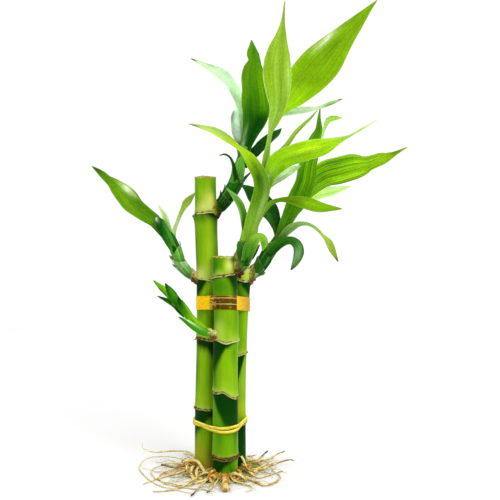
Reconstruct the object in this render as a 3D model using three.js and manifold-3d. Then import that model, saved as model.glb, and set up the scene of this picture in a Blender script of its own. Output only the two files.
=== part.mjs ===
// Lucky bamboo: three rooted canes of unequal height, bundled by a ribbed foil band and a two-strand tie,
// with five leafy side shoots. Millimetres, +Z up, the front towards -Y, +X to the right.
// The origin is the middle of the front cane's cut foot, on the surface that the bundle stands on.
import * as THREE from "three";
import { mergeVertices } from "three/addons/utils/BufferGeometryUtils.js";
import Module from "manifold-3d";

const wasm = await Module();
wasm.setup();

// Driving sizes
const CLEARANCE = 0.3;
const BLADE_THICKNESS = 0.68;
const CANE_SIDES = 18;
const SHOOT_SIDES = 8;
const ROOT_SIDES = 5;
const WRAP_STEPS = 32;

// Each cane: foot-to-top axis, bare radius, and its rings as [height, rise of the slanted ring, azimuth of
// the ring's high side in degrees]
const CANES = {
  tall: {
    radius: 8.2,
    axis: [[-13.4, 12, 0], [-13.2, 12, 40], [-12.1, 12, 88], [-12.2, 12, 125], [-13.6, 12, 165],
      [-14.2, 12, 201]],
    rings: [[43.5, 0.8, 180], [90, 0.9, 200], [130.8, 0.8, 180], [176.8, 1.6, 20]],
    colour: 0x6aa414,
  },
  front: {
    radius: 8.5,
    axis: [[-0.6, 0, 0], [0, 0, 35], [0, 0, 75], [0.6, 0, 105], [-0.3, 0, 130], [-0.6, 0, 147]],
    rings: [[13.6, 0.5, 0], [55.6, 2.2, 180], [91.2, 1.4, 180], [134.2, 2.2, 0]],
    colour: 0x73b50f,
  },
  right: {
    radius: 6.5,
    axis: [[7, 13.8, 0], [7.1, 13.8, 60], [8.6, 13.2, 105], [11.2, 12.6, 139]],
    rings: [[32, 0.6, 0], [79.6, 1.0, 0], [130.4, 0.8, 180]],
    colour: 0x5f9c12,
  },
};

// Each shoot as points [x, y, z, radius] from inside its cane to its growing tip, with the shares of its
// length at which a leaf sheath ends
const SHOOTS = {
  tall_top: {
    line: [[-9, 9, 175, 3.4], [-3, 11.5, 182, 4.4], [2, 13, 189, 4.8], [6, 15, 196.5, 4.8],
      [8.5, 16, 205, 4.3], [10, 17, 213.5, 3.6], [13.5, 17, 222.5, 2.1]],
    sheaths: [0.3, 0.48, 0.7],
    colour: 0x2c6b13,
  },
  front_top: {
    line: [[4.5, 1, 136.5, 3.3], [10.5, -2, 144.5, 5], [13.5, -3, 152.5, 5.3], [16.5, -4, 163, 5.3],
      [19.5, -4.5, 176, 5.3], [23.5, -4.5, 188.5, 4.8], [26.5, -3, 199, 2.7]],
    sheaths: [0.2, 0.34, 0.55],
    colour: 0x5c9a1e,
  },
  right_top: {
    line: [[13, 12.6, 128.5, 2.7], [18, 13, 134.5, 3.8], [23.5, 13, 140, 4.4], [28, 13, 147, 4.5],
      [32, 12.5, 153, 4.4], [36.5, 12.5, 160.5, 3.8], [40, 13, 168, 2.3]],
    sheaths: [0.32, 0.5, 0.68],
    colour: 0x2f7018,
  },
  tall_low: {
    line: [[-18.5, 11.5, 130.5, 2.7], [-24.5, 10.5, 134.5, 3.4], [-30.5, 9.5, 141.5, 3.8],
      [-34, 8.5, 150.5, 3.9], [-37, 7.8, 158, 3.6], [-40.5, 7.2, 164, 2.6], [-43, 7, 168.5, 1.6]],
    sheaths: [0.35, 0.52, 0.7],
    colour: 0x35761a,
  },
  front_low: {
    line: [[-3.5, -3, 93.5, 2.7], [-12, -6, 98.5, 3.7], [-17, -9, 104, 3.6], [-21.5, -11, 109.5, 3],
      [-25.5, -12, 114, 1.8]],
    sheaths: [0.4, 0.62],
    colour: 0x3f8a15,
  },
};

// Each leaf as points [x, y, z, half width] along its midrib from inside the shoot to the tip, the turn of
// its face about the midrib in degrees (at base and tip; 0 faces the front), how far its edges fold up, and
// the size of the waves in its edges
const LEAVES = {
  tall_top: [
    { line: [[11, 16, 210, 3.8], [13, 16.5, 221.5, 4.2], [16.5, 17, 232, 5.9], [20, 18, 244.5, 9.1],
        [20, 19, 256.5, 10.0], [19, 20, 271, 9.1], [18, 21, 282.5, 5.8], [17.5, 21.5, 291, 2.9],
        [17.5, 22, 298, 0.3]],
      turn: [0, 20], fold: 0.25, wave: 0.5, colour: 0x3c8a14 },
    { line: [[11.5, 20, 215, 2.1], [11.5, 23, 234, 2.2], [10.5, 27, 248.5, 3.0], [7, 30, 260.5, 4.2],
        [0.5, 33, 271.5, 4.7], [-6.5, 36, 278.5, 4.9], [-15.5, 38, 284, 3.0],
        [-26.5, 40, 290, 0.4]],
      turn: [10, 40], fold: 0.25, wave: 0.3, colour: 0xbfe3a0 },
    { line: [[11, 19, 213.5, 2.8], [9.5, 22, 224.5, 3.1], [8.5, 27, 234.5, 5.0], [9, 34, 244.5, 6.5],
        [10, 43, 251, 5.5], [11, 52, 255, 0.6]],
      turn: [0, 0], fold: 0.25, wave: 0.3, colour: 0xb5d8a0 },
    { line: [[8, 12, 195, 2.1], [6, 9, 204, 1.8], [5, 8, 210, 1.6], [3, 7, 214.5, 1.2],
        [-0.5, 6, 216.5, 1.1], [-4.5, 5.5, 215.5, 0.3]],
      turn: [10, 30], fold: 0.2, wave: 0, colour: 0x2c5a1a },
    { line: [[13.5, 18, 208, 2.6], [17, 22, 215.5, 3.9], [23, 27, 222.5, 4.5], [30, 32, 230.5, 4.2],
        [39, 37, 238.5, 0.4]],
      turn: [-20, -40], fold: 0.25, wave: 0.2, colour: 0x1c5418 },
    { line: [[4.5, 17, 188.5, 2.2], [9.5, 23, 195, 2.8], [14.5, 30, 203, 2.9], [19.5, 37, 209.5, 0.6]],
      turn: [-60, -70], fold: 0.3, wave: 0, colour: 0x1f5a1a },
    { line: [[13.5, 19, 220.5, 2.0], [20, 24, 229.5, 2.5], [28.5, 30, 238.5, 2.8],
        [39.5, 35, 246, 3.3], [50, 39, 250.5, 4.2], [59.5, 42, 253, 3.8], [67.5, 44, 255, 2.3],
        [76, 46, 258.5, 2.6], [84.5, 48, 262.5, 0.5]],
      turn: [-30, -50], fold: 0.25, wave: 0.2, colour: 0xb9dc9a },
  ],
  front_top: [
    { line: [[21.5, -5, 182.5, 5.3], [23.5, -9, 190.5, 5.6], [22, -13, 198.5, 5.3],
        [18.5, -16, 205, 4.7], [14.5, -18.5, 210.5, 3.8], [9.5, -21, 215.5, 1.8],
        [2.5, -23.5, 220.5, 2.7], [-5.5, -25.5, 225, 3.0], [-13, -27, 227.5, 1.8],
        [-22, -28, 230, 0.3]],
      turn: [5, 35], fold: 0.4, wave: 0.2, colour: 0x8cc62c },
    { line: [[23.5, -5, 184, 4.7], [27, -8, 193.5, 4.4], [30.5, -11, 201, 4.7], [36, -13.5, 208, 7.2],
        [44, -16, 211.5, 7.4], [53.5, -18, 214, 7.6], [62.5, -19, 216, 6.4],
        [71.5, -19, 220, 3.6], [80.5, -19, 224, 1.1], [89, -18.5, 229, 0.8],
        [98, -18, 234.5, 0.3]],
      turn: [-10, -40], fold: 0.25, wave: 0.4, colour: 0x86c81c },
    { line: [[25.5, -2, 197.5, 2.7], [26.5, -2, 211, 2.0], [28.5, -2, 221, 1.5], [30, -2, 229.5, 1.6],
        [32, -2, 236, 3.5], [34.5, -2.5, 244, 5.3], [35, -3, 255, 7.9], [34.5, -4, 269.5, 9.4],
        [35.5, -6, 283, 7.0], [37, -8, 292, 3.8], [38, -10, 300.5, 1.3], [39, -13, 312.5, 0.3]],
      turn: [10, -20], fold: 0.25, wave: 0.4, colour: 0x8fc43c },
    { line: [[26.5, 1, 196.5, 2.0], [28, 5, 209.5, 2.0], [29.5, 10, 222, 1.8], [33, 15, 234, 2.4],
        [38.5, 20, 246.5, 5.7], [46.5, 24, 255.5, 11.7], [54.5, 27.5, 268, 15.7],
        [65, 30, 280, 15.8], [76.5, 31.5, 294.5, 12.7], [89.5, 32.5, 309.5, 7.7],
        [99, 33, 320.5, 3.8], [107.5, 33, 330, 0.3]],
      turn: [0, -35], fold: 0.18, wave: 0.5, colour: 0x93c524 },
    { line: [[19, -3, 169.5, 3.5], [22.5, -8, 176.5, 3.2], [27, -13, 180, 2.2], [33, -17, 181.5, 1.8],
        [41.5, -20.5, 182, 2.9], [50, -23, 180.5, 4.8], [59.5, -24, 177.5, 5.0],
        [67, -24, 177, 2.9], [74.5, -24, 177, 0.4]],
      turn: [-20, -45], fold: 0.25, wave: 0.3, colour: 0x7cb828 },
    { line: [[15, -4, 159, 2.0], [13, -8, 165.5, 2.2], [12, -10, 173, 2.5], [10, -12, 179.5, 2.7],
        [6.5, -14, 185, 2.1], [1.5, -16, 190.5, 0.4]],
      turn: [10, 35], fold: 0.3, wave: 0, colour: 0x4c8f22 },
    { line: [[16.5, -5, 153.5, 2.1], [20.5, -9.5, 159.5, 2.3], [24, -12.5, 160.5, 2.6],
        [26.5, -14, 157.5, 2.3], [24.5, -14.5, 151, 0.3]],
      turn: [-20, -15], fold: 0.2, wave: 0, colour: 0x62a82a },
    { line: [[12.5, -5, 138, 3.3], [12, -8.5, 146, 3.8], [10.5, -9, 151.5, 2.8], [9, -10, 156, 0.3]],
      turn: [5, 15], fold: 0.4, wave: 0, colour: 0x24651a },
    { line: [[15, 2, 143, 2.3], [19, 5, 148.5, 1.9], [23, 7, 154.5, 0.3]],
      turn: [-30, -30], fold: 0.2, wave: 0, colour: 0x1d4f18 },
    { line: [[25, 0, 187, 1.8], [31, 4, 198, 1.8], [44.5, 8, 210, 1.6], [57.5, 11, 220, 1.3],
        [65, 13, 228, 1.2], [68, 14, 235.5, 1.2], [71, 15, 240.5, 2.3], [75, 16, 242, 2.2],
        [80, 17, 242.5, 0.3]],
      turn: [-20, -30], fold: 0.2, wave: 0, colour: 0xb6d98a },
    { line: [[23, -2, 187, 2.1], [29.5, -1, 194.5, 2.8], [36.5, 0, 199.5, 3.4], [44, 1, 204, 3.1],
        [50.5, 2, 207.5, 0.3]],
      turn: [-15, -35], fold: 0.25, wave: 0.2, colour: 0xc2e4a6 },
    { line: [[26, 2, 194, 1.9], [30.5, 8, 206.5, 2.0], [36.5, 13, 217.5, 2.1], [42, 17, 223.5, 2.1],
        [48, 20, 232, 2.0], [53.5, 22, 238, 1.8], [59.5, 24, 244, 1.2], [64, 25, 249.5, 0.3]],
      turn: [-30, -45], fold: 0.25, wave: 0, colour: 0x9ccc62 },
  ],
  right_top: [
    { line: [[30, 8, 148.5, 3.1], [36.5, 3.5, 155, 3.5], [43, 0, 156.5, 3.2], [48, -3, 153.5, 3.5],
        [48.5, -5, 148.5, 3.9], [46.5, -6, 142.5, 2.6], [43.5, -6, 137.5, 0.3]],
      turn: [-30, -10], fold: 0.2, wave: 0, colour: 0x2f7a1c },
    { line: [[37, 10, 157, 2.4], [42.5, 4, 164.5, 2.1], [49, -1, 168, 1.7], [56, -5, 166.5, 1.9],
        [62.5, -8, 162, 2.9], [67.5, -10, 155.5, 3.1], [70.5, -11, 150.5, 2.1],
        [73.5, -11, 143.5, 0.3]],
      turn: [-30, -20], fold: 0.25, wave: 0.5, colour: 0x6fae35 },
    { line: [[35, 12, 154.5, 3.4], [39.5, 9, 166, 3.8], [44.5, 7, 177, 5.2], [50, 5, 187, 7.3],
        [54, 4, 197.5, 6.7], [55.5, 3, 207, 6.2], [58, 2, 216, 5.3], [60, 1, 224.5, 4.3],
        [62.5, 0, 231, 2.7], [62.5, -1, 238.5, 1.2], [63, -2, 245, 0.3]],
      turn: [-5, -30], fold: 0.25, wave: 0.3, colour: 0x4e9a22 },
    { line: [[38, 16, 163.5, 2.8], [44.5, 21, 175, 3.2], [51, 25, 185, 4.0], [59.5, 29, 195.5, 7.1],
        [70, 32, 204, 10.3], [81, 34, 207, 11.3], [92.5, 35, 210, 10.3], [103, 36, 213, 7.3],
        [113, 36, 216, 4.8], [121.5, 36, 220, 2.1], [129.5, 36, 225, 0.4]],
      turn: [-10, -35], fold: 0.2, wave: 0.6, colour: 0x7fbf1e },
    { line: [[38.5, 18, 165, 2.4], [44.5, 27, 176, 3.4], [53, 36, 185, 4.2], [64, 43, 190.5, 5.3],
        [76, 48, 193.5, 5.5], [91.5, 52, 198.5, 0.5]],
      turn: [-30, -50], fold: 0.25, wave: 0.3, colour: 0xc6e8b0 },
    { line: [[36.5, 13, 158, 2.7], [34.5, 15, 167.5, 3.5], [31, 14, 176, 5.5], [26, 11.5, 182, 6.8],
        [19, 9, 188, 5.6], [14.5, 7, 192, 3.1], [10.5, 5, 195, 0.3]],
      turn: [0, 20], fold: 0.25, wave: 0.3, colour: 0x1f5c1a },
  ],
  tall_low: [
    { line: [[-37.5, 8.5, 156.5, 3.1], [-43, 8.5, 164, 3.8], [-50, 7.5, 171.5, 4.7],
        [-59, 5, 179, 5.9], [-68, 2, 186, 6.9], [-75, -1, 193.5, 5.2], [-81.5, -4, 199.5, 2.9],
        [-87.5, -7, 206, 0.3]],
      turn: [10, 40], fold: 0.25, wave: 0.4, colour: 0x5fa822 },
    { line: [[-37.5, 9, 158, 2.1], [-40, 12, 167, 2.1], [-42.5, 15, 174, 1.9], [-47, 18, 182, 0.3]],
      turn: [15, 20], fold: 0.25, wave: 0, colour: 0x7fb94a },
    { line: [[-34, 9, 153.5, 2.1], [-36, 14, 162, 1.6], [-34, 19, 170.5, 1.4], [-31, 23, 178.5, 1.8],
        [-27.5, 26, 185, 2.9], [-22, 29, 192, 0.3]],
      turn: [-10, -25], fold: 0.25, wave: 0, colour: 0x4f9430 },
    { line: [[-34.5, 6, 149.5, 2.2], [-39, 3.5, 157.5, 2.4], [-42.5, 2.5, 165, 2.0],
        [-45.5, 3, 171, 1.5], [-48.5, 5, 176, 0.3]],
      turn: [15, 30], fold: 0.3, wave: 0, colour: 0x2a6a18 },
  ],
  front_low: [
    { line: [[-23.5, -10.5, 111, 2.4], [-32, -9, 117, 3.2], [-39.5, -8, 123, 3.2],
        [-47, -7.5, 130.5, 0.4]],
      turn: [15, 30], fold: 0.3, wave: 0, colour: 0x3f8f18 },
    { line: [[-23, -12, 112, 2.6], [-29.5, -15, 118.5, 2.9], [-33.5, -17, 124, 2.4],
        [-38, -18, 129.5, 0.4]],
      turn: [15, 30], fold: 0.3, wave: 0, colour: 0x2f7d14 },
    { line: [[-22, -10, 110, 2.1], [-31, -13, 114.5, 2.5], [-37.5, -13.5, 118, 2.3],
        [-43.5, -13, 121, 0.4]],
      turn: [20, 40], fold: 0.3, wave: 0, colour: 0x4b9a1c },
    { line: [[-17, -9, 104, 2.3], [-22.5, -14.5, 111.5, 2.8], [-26, -18, 116, 2.1],
        [-29, -20, 120.5, 0.3]],
      turn: [10, 20], fold: 0.4, wave: 0, colour: 0x3a8a16 },
    { line: [[-13, -6, 97.5, 2.2], [-19.5, -10.5, 101, 2.7], [-24.5, -12.5, 104, 2.4],
        [-29.5, -13, 107.5, 0.4]],
      turn: [25, 40], fold: 0.3, wave: 0, colour: 0x5aa524 },
  ],
};

// Roots of each cane as [azimuth in degrees, length, sideways bend in degrees, lift of the tip]
const ROOTS = {
  front: [[196, 40, 12, 1], [212, 44, -14, 2], [228, 28, 18, 0], [246, 33, -10, 0], [263, 18, 10, 3],
    [279, 21, -12, 2], [297, 28, 16, 0], [314, 38, 20, 1], [332, 44, 14, 3]],
  tall: [[92, 28, 14, 2], [112, 34, -16, 4], [131, 38, 12, 7], [148, 44, -10, 10], [164, 40, 16, 6],
    [178, 44, 10, 5], [192, 34, -14, 2]],
  right: [[-24, 42, 16, 4], [-8, 46, 12, 8], [8, 36, -12, 10], [24, 40, 10, 6], [42, 30, -14, 3],
    [62, 34, 12, 2], [82, 24, -10, 1]],
};
const ROOT_THICK = 1.35;
const ROOT_TIP = 0.45;
const ROOT_START_HEIGHT = 5.5;
const CROWN_LOW = 2.4;
const CROWN_HIGH = 8.6;
const CROWN_DEPTH = 1.7;

const BAND_HEIGHT = 116;
const TIE_HEIGHT = 33.6;
const TIE_SLOPE_X = 0.03;
const TIE_SLOPE_Y = 0.09;

const vector = (point) => new THREE.Vector3(...point.slice(0, 3));
const along = (line) => new THREE.CatmullRomCurve3(line.map(vector), false, "centripetal");
const mix = THREE.MathUtils.lerp;
const radians = THREE.MathUtils.degToRad;

// The fourth number of a line's points, such as a radius, at a share of the length of its curve
function sizeAlong(line, curve, share) {
  const place = curve.getUtoTmapping(share) * (line.length - 1);
  const low = Math.min(Math.floor(place), line.length - 2);
  return mix(line[low][3], line[low + 1][3], place - low);
}

function geometryOf(positions, faces) {
  const geometry = new THREE.BufferGeometry();
  geometry.setAttribute("position", new THREE.Float32BufferAttribute(positions, 3));
  geometry.setIndex(faces);
  return geometry;
}

// Skin over a row of closed rings with the same number of points, capped at both ends
function loft(rings) {
  const sides = rings[0].length;
  const faces = [];
  for (let i = 0; i + 1 < rings.length; i += 1) {
    for (let j = 0; j < sides; j += 1) {
      const next = (j + 1) % sides;
      const a = i * sides + j;
      const b = i * sides + next;
      faces.push(a, b, b + sides, a, b + sides, a + sides);
    }
  }
  const last = (rings.length - 1) * sides;
  for (let j = 1; j + 1 < sides; j += 1) {
    faces.push(0, j + 1, j, last, last + j, last + j + 1);
  }
  return geometryOf(rings.flat().flatMap((point) => point.toArray()), faces);
}

// Skin over a row of closed rings that comes back to its first ring
function closedLoft(rings) {
  const sides = rings[0].length;
  const faces = [];
  for (let i = 0; i < rings.length; i += 1) {
    const ahead = (i + 1) % rings.length;
    for (let j = 0; j < sides; j += 1) {
      const next = (j + 1) % sides;
      const a = i * sides + j;
      const b = i * sides + next;
      const c = ahead * sides + j;
      const d = ahead * sides + next;
      faces.push(a, b, d, a, d, c);
    }
  }
  return geometryOf(rings.flat().flatMap((point) => point.toArray()), faces);
}

// Geometry turned into a solid, with its faces outward
function solidOf(geometry) {
  const bare = geometry.clone();
  bare.deleteAttribute("normal");
  bare.deleteAttribute("uv");
  const merged = mergeVertices(bare, 1e-4);
  const place = merged.getAttribute("position");
  const faces = Array.from(merged.getIndex().array);
  let volume = 0;
  const corner = [new THREE.Vector3(), new THREE.Vector3(), new THREE.Vector3()];
  for (let i = 0; i < faces.length; i += 3) {
    corner.forEach((point, k) => point.fromBufferAttribute(place, faces[i + k]));
    volume += corner[0].dot(corner[1].clone().cross(corner[2]));
  }
  if (volume < 0) {
    faces.reverse();
  }
  const mesh = new wasm.Mesh({
    numProp: 3,
    vertProperties: new Float32Array(place.array),
    triVerts: new Uint32Array(faces),
  });
  return new wasm.Manifold(mesh);
}

// The largest body of a solid, as geometry
function largestBody(solid) {
  const bodies = solid.decompose();
  bodies.sort((one, other) => other.volume() - one.volume());
  const mesh = bodies[0].getMesh();
  return geometryOf(Array.from(mesh.vertProperties), Array.from(mesh.triVerts));
}

// The height of a slanted or level ring on the side of a cane
function ringHeight([height, rise, highSide], angle) {
  return height + rise * Math.cos(angle - radians(highSide));
}

// A cane: a round length that swells at each slanted ring, with a chamfered cut at the top
function caneGeometry(cane, grow = 0) {
  const curve = along(cane.axis);
  const top = cane.axis.at(-1)[2];
  const centreAt = (height) => {
    let low = 0;
    let high = 1;
    for (let step = 0; step < 24; step += 1) {
      const middle = (low + high) / 2;
      if (curve.getPoint(middle).z < height) {
        low = middle;
      } else {
        high = middle;
      }
    }
    return curve.getPoint(low);
  };
  const ringSteps = [[-6, 0], [-1.4, 0.4], [-0.4, 0.95], [0.5, 0.8], [1.2, 0.15], [7, 0]];
  const stations = [{ height: -grow, extra: 0 }];
  for (const ring of cane.rings) {
    for (const [offset, extra] of ringSteps) {
      const height = ring[0] + offset;
      if (height > stations.at(-1).height + 0.7 && height < top - 2) {
        stations.push({ height, extra, ring, offset });
      }
    }
  }
  stations.push({ height: top - 0.8, extra: 0 });
  stations.push({ height: top + grow, extra: -0.6 });
  const rings = stations.map(({ height, extra, ring, offset }) => {
    const points = [];
    for (let j = 0; j < CANE_SIDES; j += 1) {
      const angle = (j / CANE_SIDES) * Math.PI * 2;
      const slanted = ring ? ringHeight(ring, angle) + offset : height;
      const centre = centreAt(THREE.MathUtils.clamp(slanted, 0, top));
      const radius = cane.radius + extra + grow;
      const x = centre.x + radius * Math.cos(angle);
      const y = centre.y + radius * Math.sin(angle);
      points.push(new THREE.Vector3(x, y, slanted));
    }
    return points;
  });
  return loft(rings);
}

// A point at a share of a curve's length, pushed past the ends of the curve by the growth
function pointAlong(curve, t, grow) {
  const past = (t === 0 ? -grow : 0) + (t === 1 ? grow : 0);
  return curve.getPointAt(t).addScaledVector(curve.getTangentAt(t), past);
}

// Rings of points round a curve, with the radius and the push of the ring along the curve given at each step
function roundRings(curve, steps, sides, radiusAt, slant, grow) {
  const frames = curve.computeFrenetFrames(steps.length - 1, false);
  return steps.map((t, i) => {
    const centre = pointAlong(curve, t, grow);
    const tangent = curve.getTangentAt(t);
    const normal = frames.normals[i];
    const across = normal.clone().addScaledVector(tangent, -normal.dot(tangent)).normalize();
    const up = tangent.clone().cross(across);
    const points = [];
    for (let j = 0; j < sides; j += 1) {
      const angle = (j / sides) * Math.PI * 2;
      const radius = radiusAt(t) + grow;
      points.push(centre.clone()
        .addScaledVector(across, radius * Math.cos(angle))
        .addScaledVector(up, radius * Math.sin(angle))
        .addScaledVector(tangent, slant * Math.cos(angle)));
    }
    return points;
  });
}

// The stem of a shoot, wrapped in sheaths that each end in a small step
const SHEATH_STEP = 0.4;
const SHEATH_SLANT = 0.9;
function shootGeometry(shoot, grow = 0) {
  const curve = along(shoot.line);
  const steps = [0, 0.08, 0.16, 0.24, 0.42, 0.6, 0.8, 0.92, 1];
  const edges = new Map();
  for (const sheath of shoot.sheaths) {
    steps.push(sheath, sheath + 0.012);
    edges.set(sheath, SHEATH_STEP);
  }
  steps.sort((one, other) => one - other);
  const radiusAt = (t) => sizeAlong(shoot.line, curve, t) + (edges.get(t) ?? 0);
  return loft(roundRings(curve, steps, SHOOT_SIDES, radiusAt, SHEATH_SLANT, grow));
}

// A leaf blade: a thin closed sheet along its midrib, folded up at both sides and waved at its edges
const WAVE_COUNT = 3;
const BASE_FOLD = 0.75;
const BASE_FOLD_LENGTH = 0.3;
const WIDE_LEAF = 4.5;
const LEAF_ROW = 8.5;
function leafGeometry(leaf, grow = 0) {
  const curve = along(leaf.line);
  const length = curve.getLength();
  const columns = leaf.line.some((point) => point[3] > WIDE_LEAF) ? 5 : 3;
  const rows = Math.round(THREE.MathUtils.clamp(length / LEAF_ROW, 4, 13)) + 1;
  const front = new THREE.Vector3(0, -1, 0);
  const middle = [];
  for (let i = 0; i < rows; i += 1) {
    const t = i / (rows - 1);
    const tangent = curve.getTangentAt(t);
    const side = tangent.clone().cross(front).normalize();
    side.applyAxisAngle(tangent, radians(mix(leaf.turn[0], leaf.turn[1], t)));
    const face = side.clone().cross(tangent);
    const half = sizeAlong(leaf.line, curve, t) + 0.1 + grow;
    const tight = Math.max(1 - t / BASE_FOLD_LENGTH, 0);
    const fold = mix(leaf.fold, BASE_FOLD, tight ** 1.5);
    const row = [];
    for (let k = 0; k < columns; k += 1) {
      const across = (k / (columns - 1)) * 2 - 1;
      const lift = fold * Math.abs(across) ** 1.4 * half;
      const waves = leaf.wave * across * Math.sin(t * WAVE_COUNT * Math.PI * 2) * Math.sin(t * Math.PI);
      const reach = across * half * Math.cos(Math.atan(fold * 0.6));
      row.push(pointAlong(curve, t, grow).addScaledVector(side, reach).addScaledVector(face, lift + waves));
    }
    middle.push(row);
  }
  return sheet(middle, BLADE_THICKNESS + 2 * grow);
}

// A closed sheet of even thickness about a grid of points, split into triangles alike on both faces
function sheet(middle, thickness) {
  const rows = middle.length;
  const columns = middle[0].length;
  const positions = [];
  for (const side of [1, -1]) {
    for (let i = 0; i < rows; i += 1) {
      for (let k = 0; k < columns; k += 1) {
        const ahead = middle[Math.min(i + 1, rows - 1)][k].clone().sub(middle[Math.max(i - 1, 0)][k]);
        const across = middle[i][Math.min(k + 1, columns - 1)].clone().sub(middle[i][Math.max(k - 1, 0)]);
        const normal = across.cross(ahead).normalize();
        positions.push(...middle[i][k].clone().addScaledVector(normal, side * thickness / 2).toArray());
      }
    }
  }
  const under = rows * columns;
  const faces = [];
  const wall = (a, b) => faces.push(a, a + under, b + under, a, b + under, b);
  for (let i = 0; i + 1 < rows; i += 1) {
    for (let k = 0; k + 1 < columns; k += 1) {
      const a = i * columns + k;
      const b = a + 1;
      const c = a + columns;
      const d = c + 1;
      faces.push(a, b, d, a, d, c);
      faces.push(a + under, d + under, b + under, a + under, c + under, d + under);
    }
    wall((i + 1) * columns, i * columns);
    wall((i + 1) * columns - 1, (i + 2) * columns - 1);
  }
  for (let k = 0; k + 1 < columns; k += 1) {
    wall(k, k + 1);
    wall((rows - 1) * columns + k + 1, (rows - 1) * columns + k);
  }
  return geometryOf(positions, faces);
}

// One root: it leaves the foot of its cane, droops to the surface and wanders out along it
function rootGeometry(cane, [azimuth, length, bend, lift], grow = 0) {
  const foot = vector(cane.axis[0]);
  const points = [];
  const count = 7;
  for (let i = 0; i <= count; i += 1) {
    const t = i / count;
    const radius = mix(ROOT_THICK, ROOT_TIP, t ** 0.7);
    const angle = radians(azimuth + bend * Math.sin(t * Math.PI * 1.5));
    const reach = cane.radius * 0.6 + length * t;
    const droop = Math.max(1 - t / 0.42, 0) ** 1.6;
    const height = radius + 0.05 + ROOT_START_HEIGHT * droop + lift * t ** 2.5;
    points.push([foot.x + reach * Math.cos(angle), foot.y + reach * Math.sin(angle), height]);
  }
  const steps = [0, 0.14, 0.27, 0.4, 0.55, 0.7, 0.85, 1];
  const radiusAt = (t) => mix(ROOT_THICK, ROOT_TIP, t ** 0.7);
  return loft(roundRings(along(points), steps, ROOT_SIDES, radiusAt, 0, grow));
}

// The rough crown ring that a cane's roots spring from
function crownGeometry(cane, grow = 0) {
  const inner = cane.radius - 1;
  const outer = cane.radius + CROWN_DEPTH + grow;
  const low = CROWN_LOW - grow;
  const high = CROWN_HIGH + grow;
  const middle = mix(low, high, 0.4);
  const profile = [[inner, low], [outer - 0.5, low], [outer, middle], [outer - 0.9, high], [inner, high]];
  const rings = [];
  for (let i = 0; i < CANE_SIDES; i += 1) {
    const angle = (i / CANE_SIDES) * Math.PI * 2;
    const rough = 0.35 * Math.sin(angle * 5);
    rings.push(profile.map(([reach, height], k) => {
      const distance = reach + (k === 2 ? rough : 0);
      return new THREE.Vector3(cane.axis[0][0] + distance * Math.cos(angle),
        cane.axis[0][1] + distance * Math.sin(angle), height);
    }));
  }
  return closedLoft(rings);
}

function rootMassSolid(name, grow = 0) {
  const cane = CANES[name];
  return ROOTS[name].reduce(
    (mass, root) => mass.add(solidOf(rootGeometry(cane, root, grow))),
    solidOf(crownGeometry(cane, grow)),
  );
}

// A ring round the three canes: a section carried round their common outline at one height
function wrapGeometry(height, section, heightAt = () => 0) {
  const circles = Object.values(CANES).map((cane) => {
    const curve = along(cane.axis);
    const share = height / cane.axis.at(-1)[2];
    const centre = curve.getPoint(THREE.MathUtils.clamp(share, 0, 1));
    return { x: centre.x, y: centre.y, radius: cane.radius + CLEARANCE + 0.1 };
  });
  const rings = [];
  for (let i = 0; i < WRAP_STEPS; i += 1) {
    const angle = (i / WRAP_STEPS) * Math.PI * 2;
    const out = new THREE.Vector3(Math.cos(angle), Math.sin(angle), 0);
    const reachOf = (circle) => circle.x * out.x + circle.y * out.y + circle.radius;
    const outermost = circles.reduce((best, circle) => (reachOf(circle) > reachOf(best) ? circle : best));
    rings.push(section.map(([depth, rise]) => {
      const x = outermost.x + (outermost.radius + depth) * out.x;
      const y = outermost.y + (outermost.radius + depth) * out.y;
      return new THREE.Vector3(x, y, height + rise + heightAt(x, y));
    }));
  }
  return closedLoft(rings);
}

const BAND_SECTION = [[0, -4.9], [0.6, -4.9], [0.95, -3.4], [0.65, -1.7], [0.95, 0], [0.65, 1.7], [0.95, 3.4],
  [0.6, 4.9], [0, 4.9]];
const TIE_SECTION = [[0, -2.1], [0.9, -2.2], [1.5, -1.15], [0.9, -0.3], [0.9, 0.3], [1.5, 1.15], [0.9, 2.2],
  [0, 2.1]];

const group = new THREE.Group();

function addPiece(name, geometry, colour, roughness = 0.45, metalness = 0) {
  geometry.computeVertexNormals();
  const material = new THREE.MeshStandardMaterial({ color: colour, roughness, metalness, flatShading: true });
  const piece = new THREE.Mesh(geometry, material);
  piece.name = name;
  group.add(piece);
}

// Canes, the rings of the outer two pressed a little flat where they meet the front one
const grownCanes = Object.values(CANES).map((cane) => solidOf(caneGeometry(cane, CLEARANCE)));
const clearOfCanes = (solid) => grownCanes.reduce((rest, cane) => rest.subtract(cane), solid);
const grownFront = solidOf(caneGeometry(CANES.front, CLEARANCE));
for (const [name, cane] of Object.entries(CANES)) {
  const whole = solidOf(caneGeometry(cane));
  addPiece(`cane_${name}`, largestBody(name === "front" ? whole : whole.subtract(grownFront)), cane.colour);
}

// Roots, each mass kept clear of the canes and of the masses before it
const earlierRoots = [];
for (const name of Object.keys(ROOTS)) {
  const clear = earlierRoots.reduce((rest, mass) => rest.subtract(mass), clearOfCanes(rootMassSolid(name)));
  addPiece(`roots_${name}`, largestBody(clear), 0xd9a955, 0.8);
  earlierRoots.push(rootMassSolid(name, CLEARANCE));
}

// Foil band and tie
const band = clearOfCanes(solidOf(wrapGeometry(BAND_HEIGHT, BAND_SECTION)));
addPiece("gold_band", largestBody(band), 0xe0a81c, 0.3, 1);
const tieLean = (x, y) => TIE_SLOPE_X * x + TIE_SLOPE_Y * y;
const tie = clearOfCanes(solidOf(wrapGeometry(TIE_HEIGHT, TIE_SECTION, tieLean)));
addPiece("raffia_tie", largestBody(tie), 0xd8cf62, 0.6);

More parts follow.
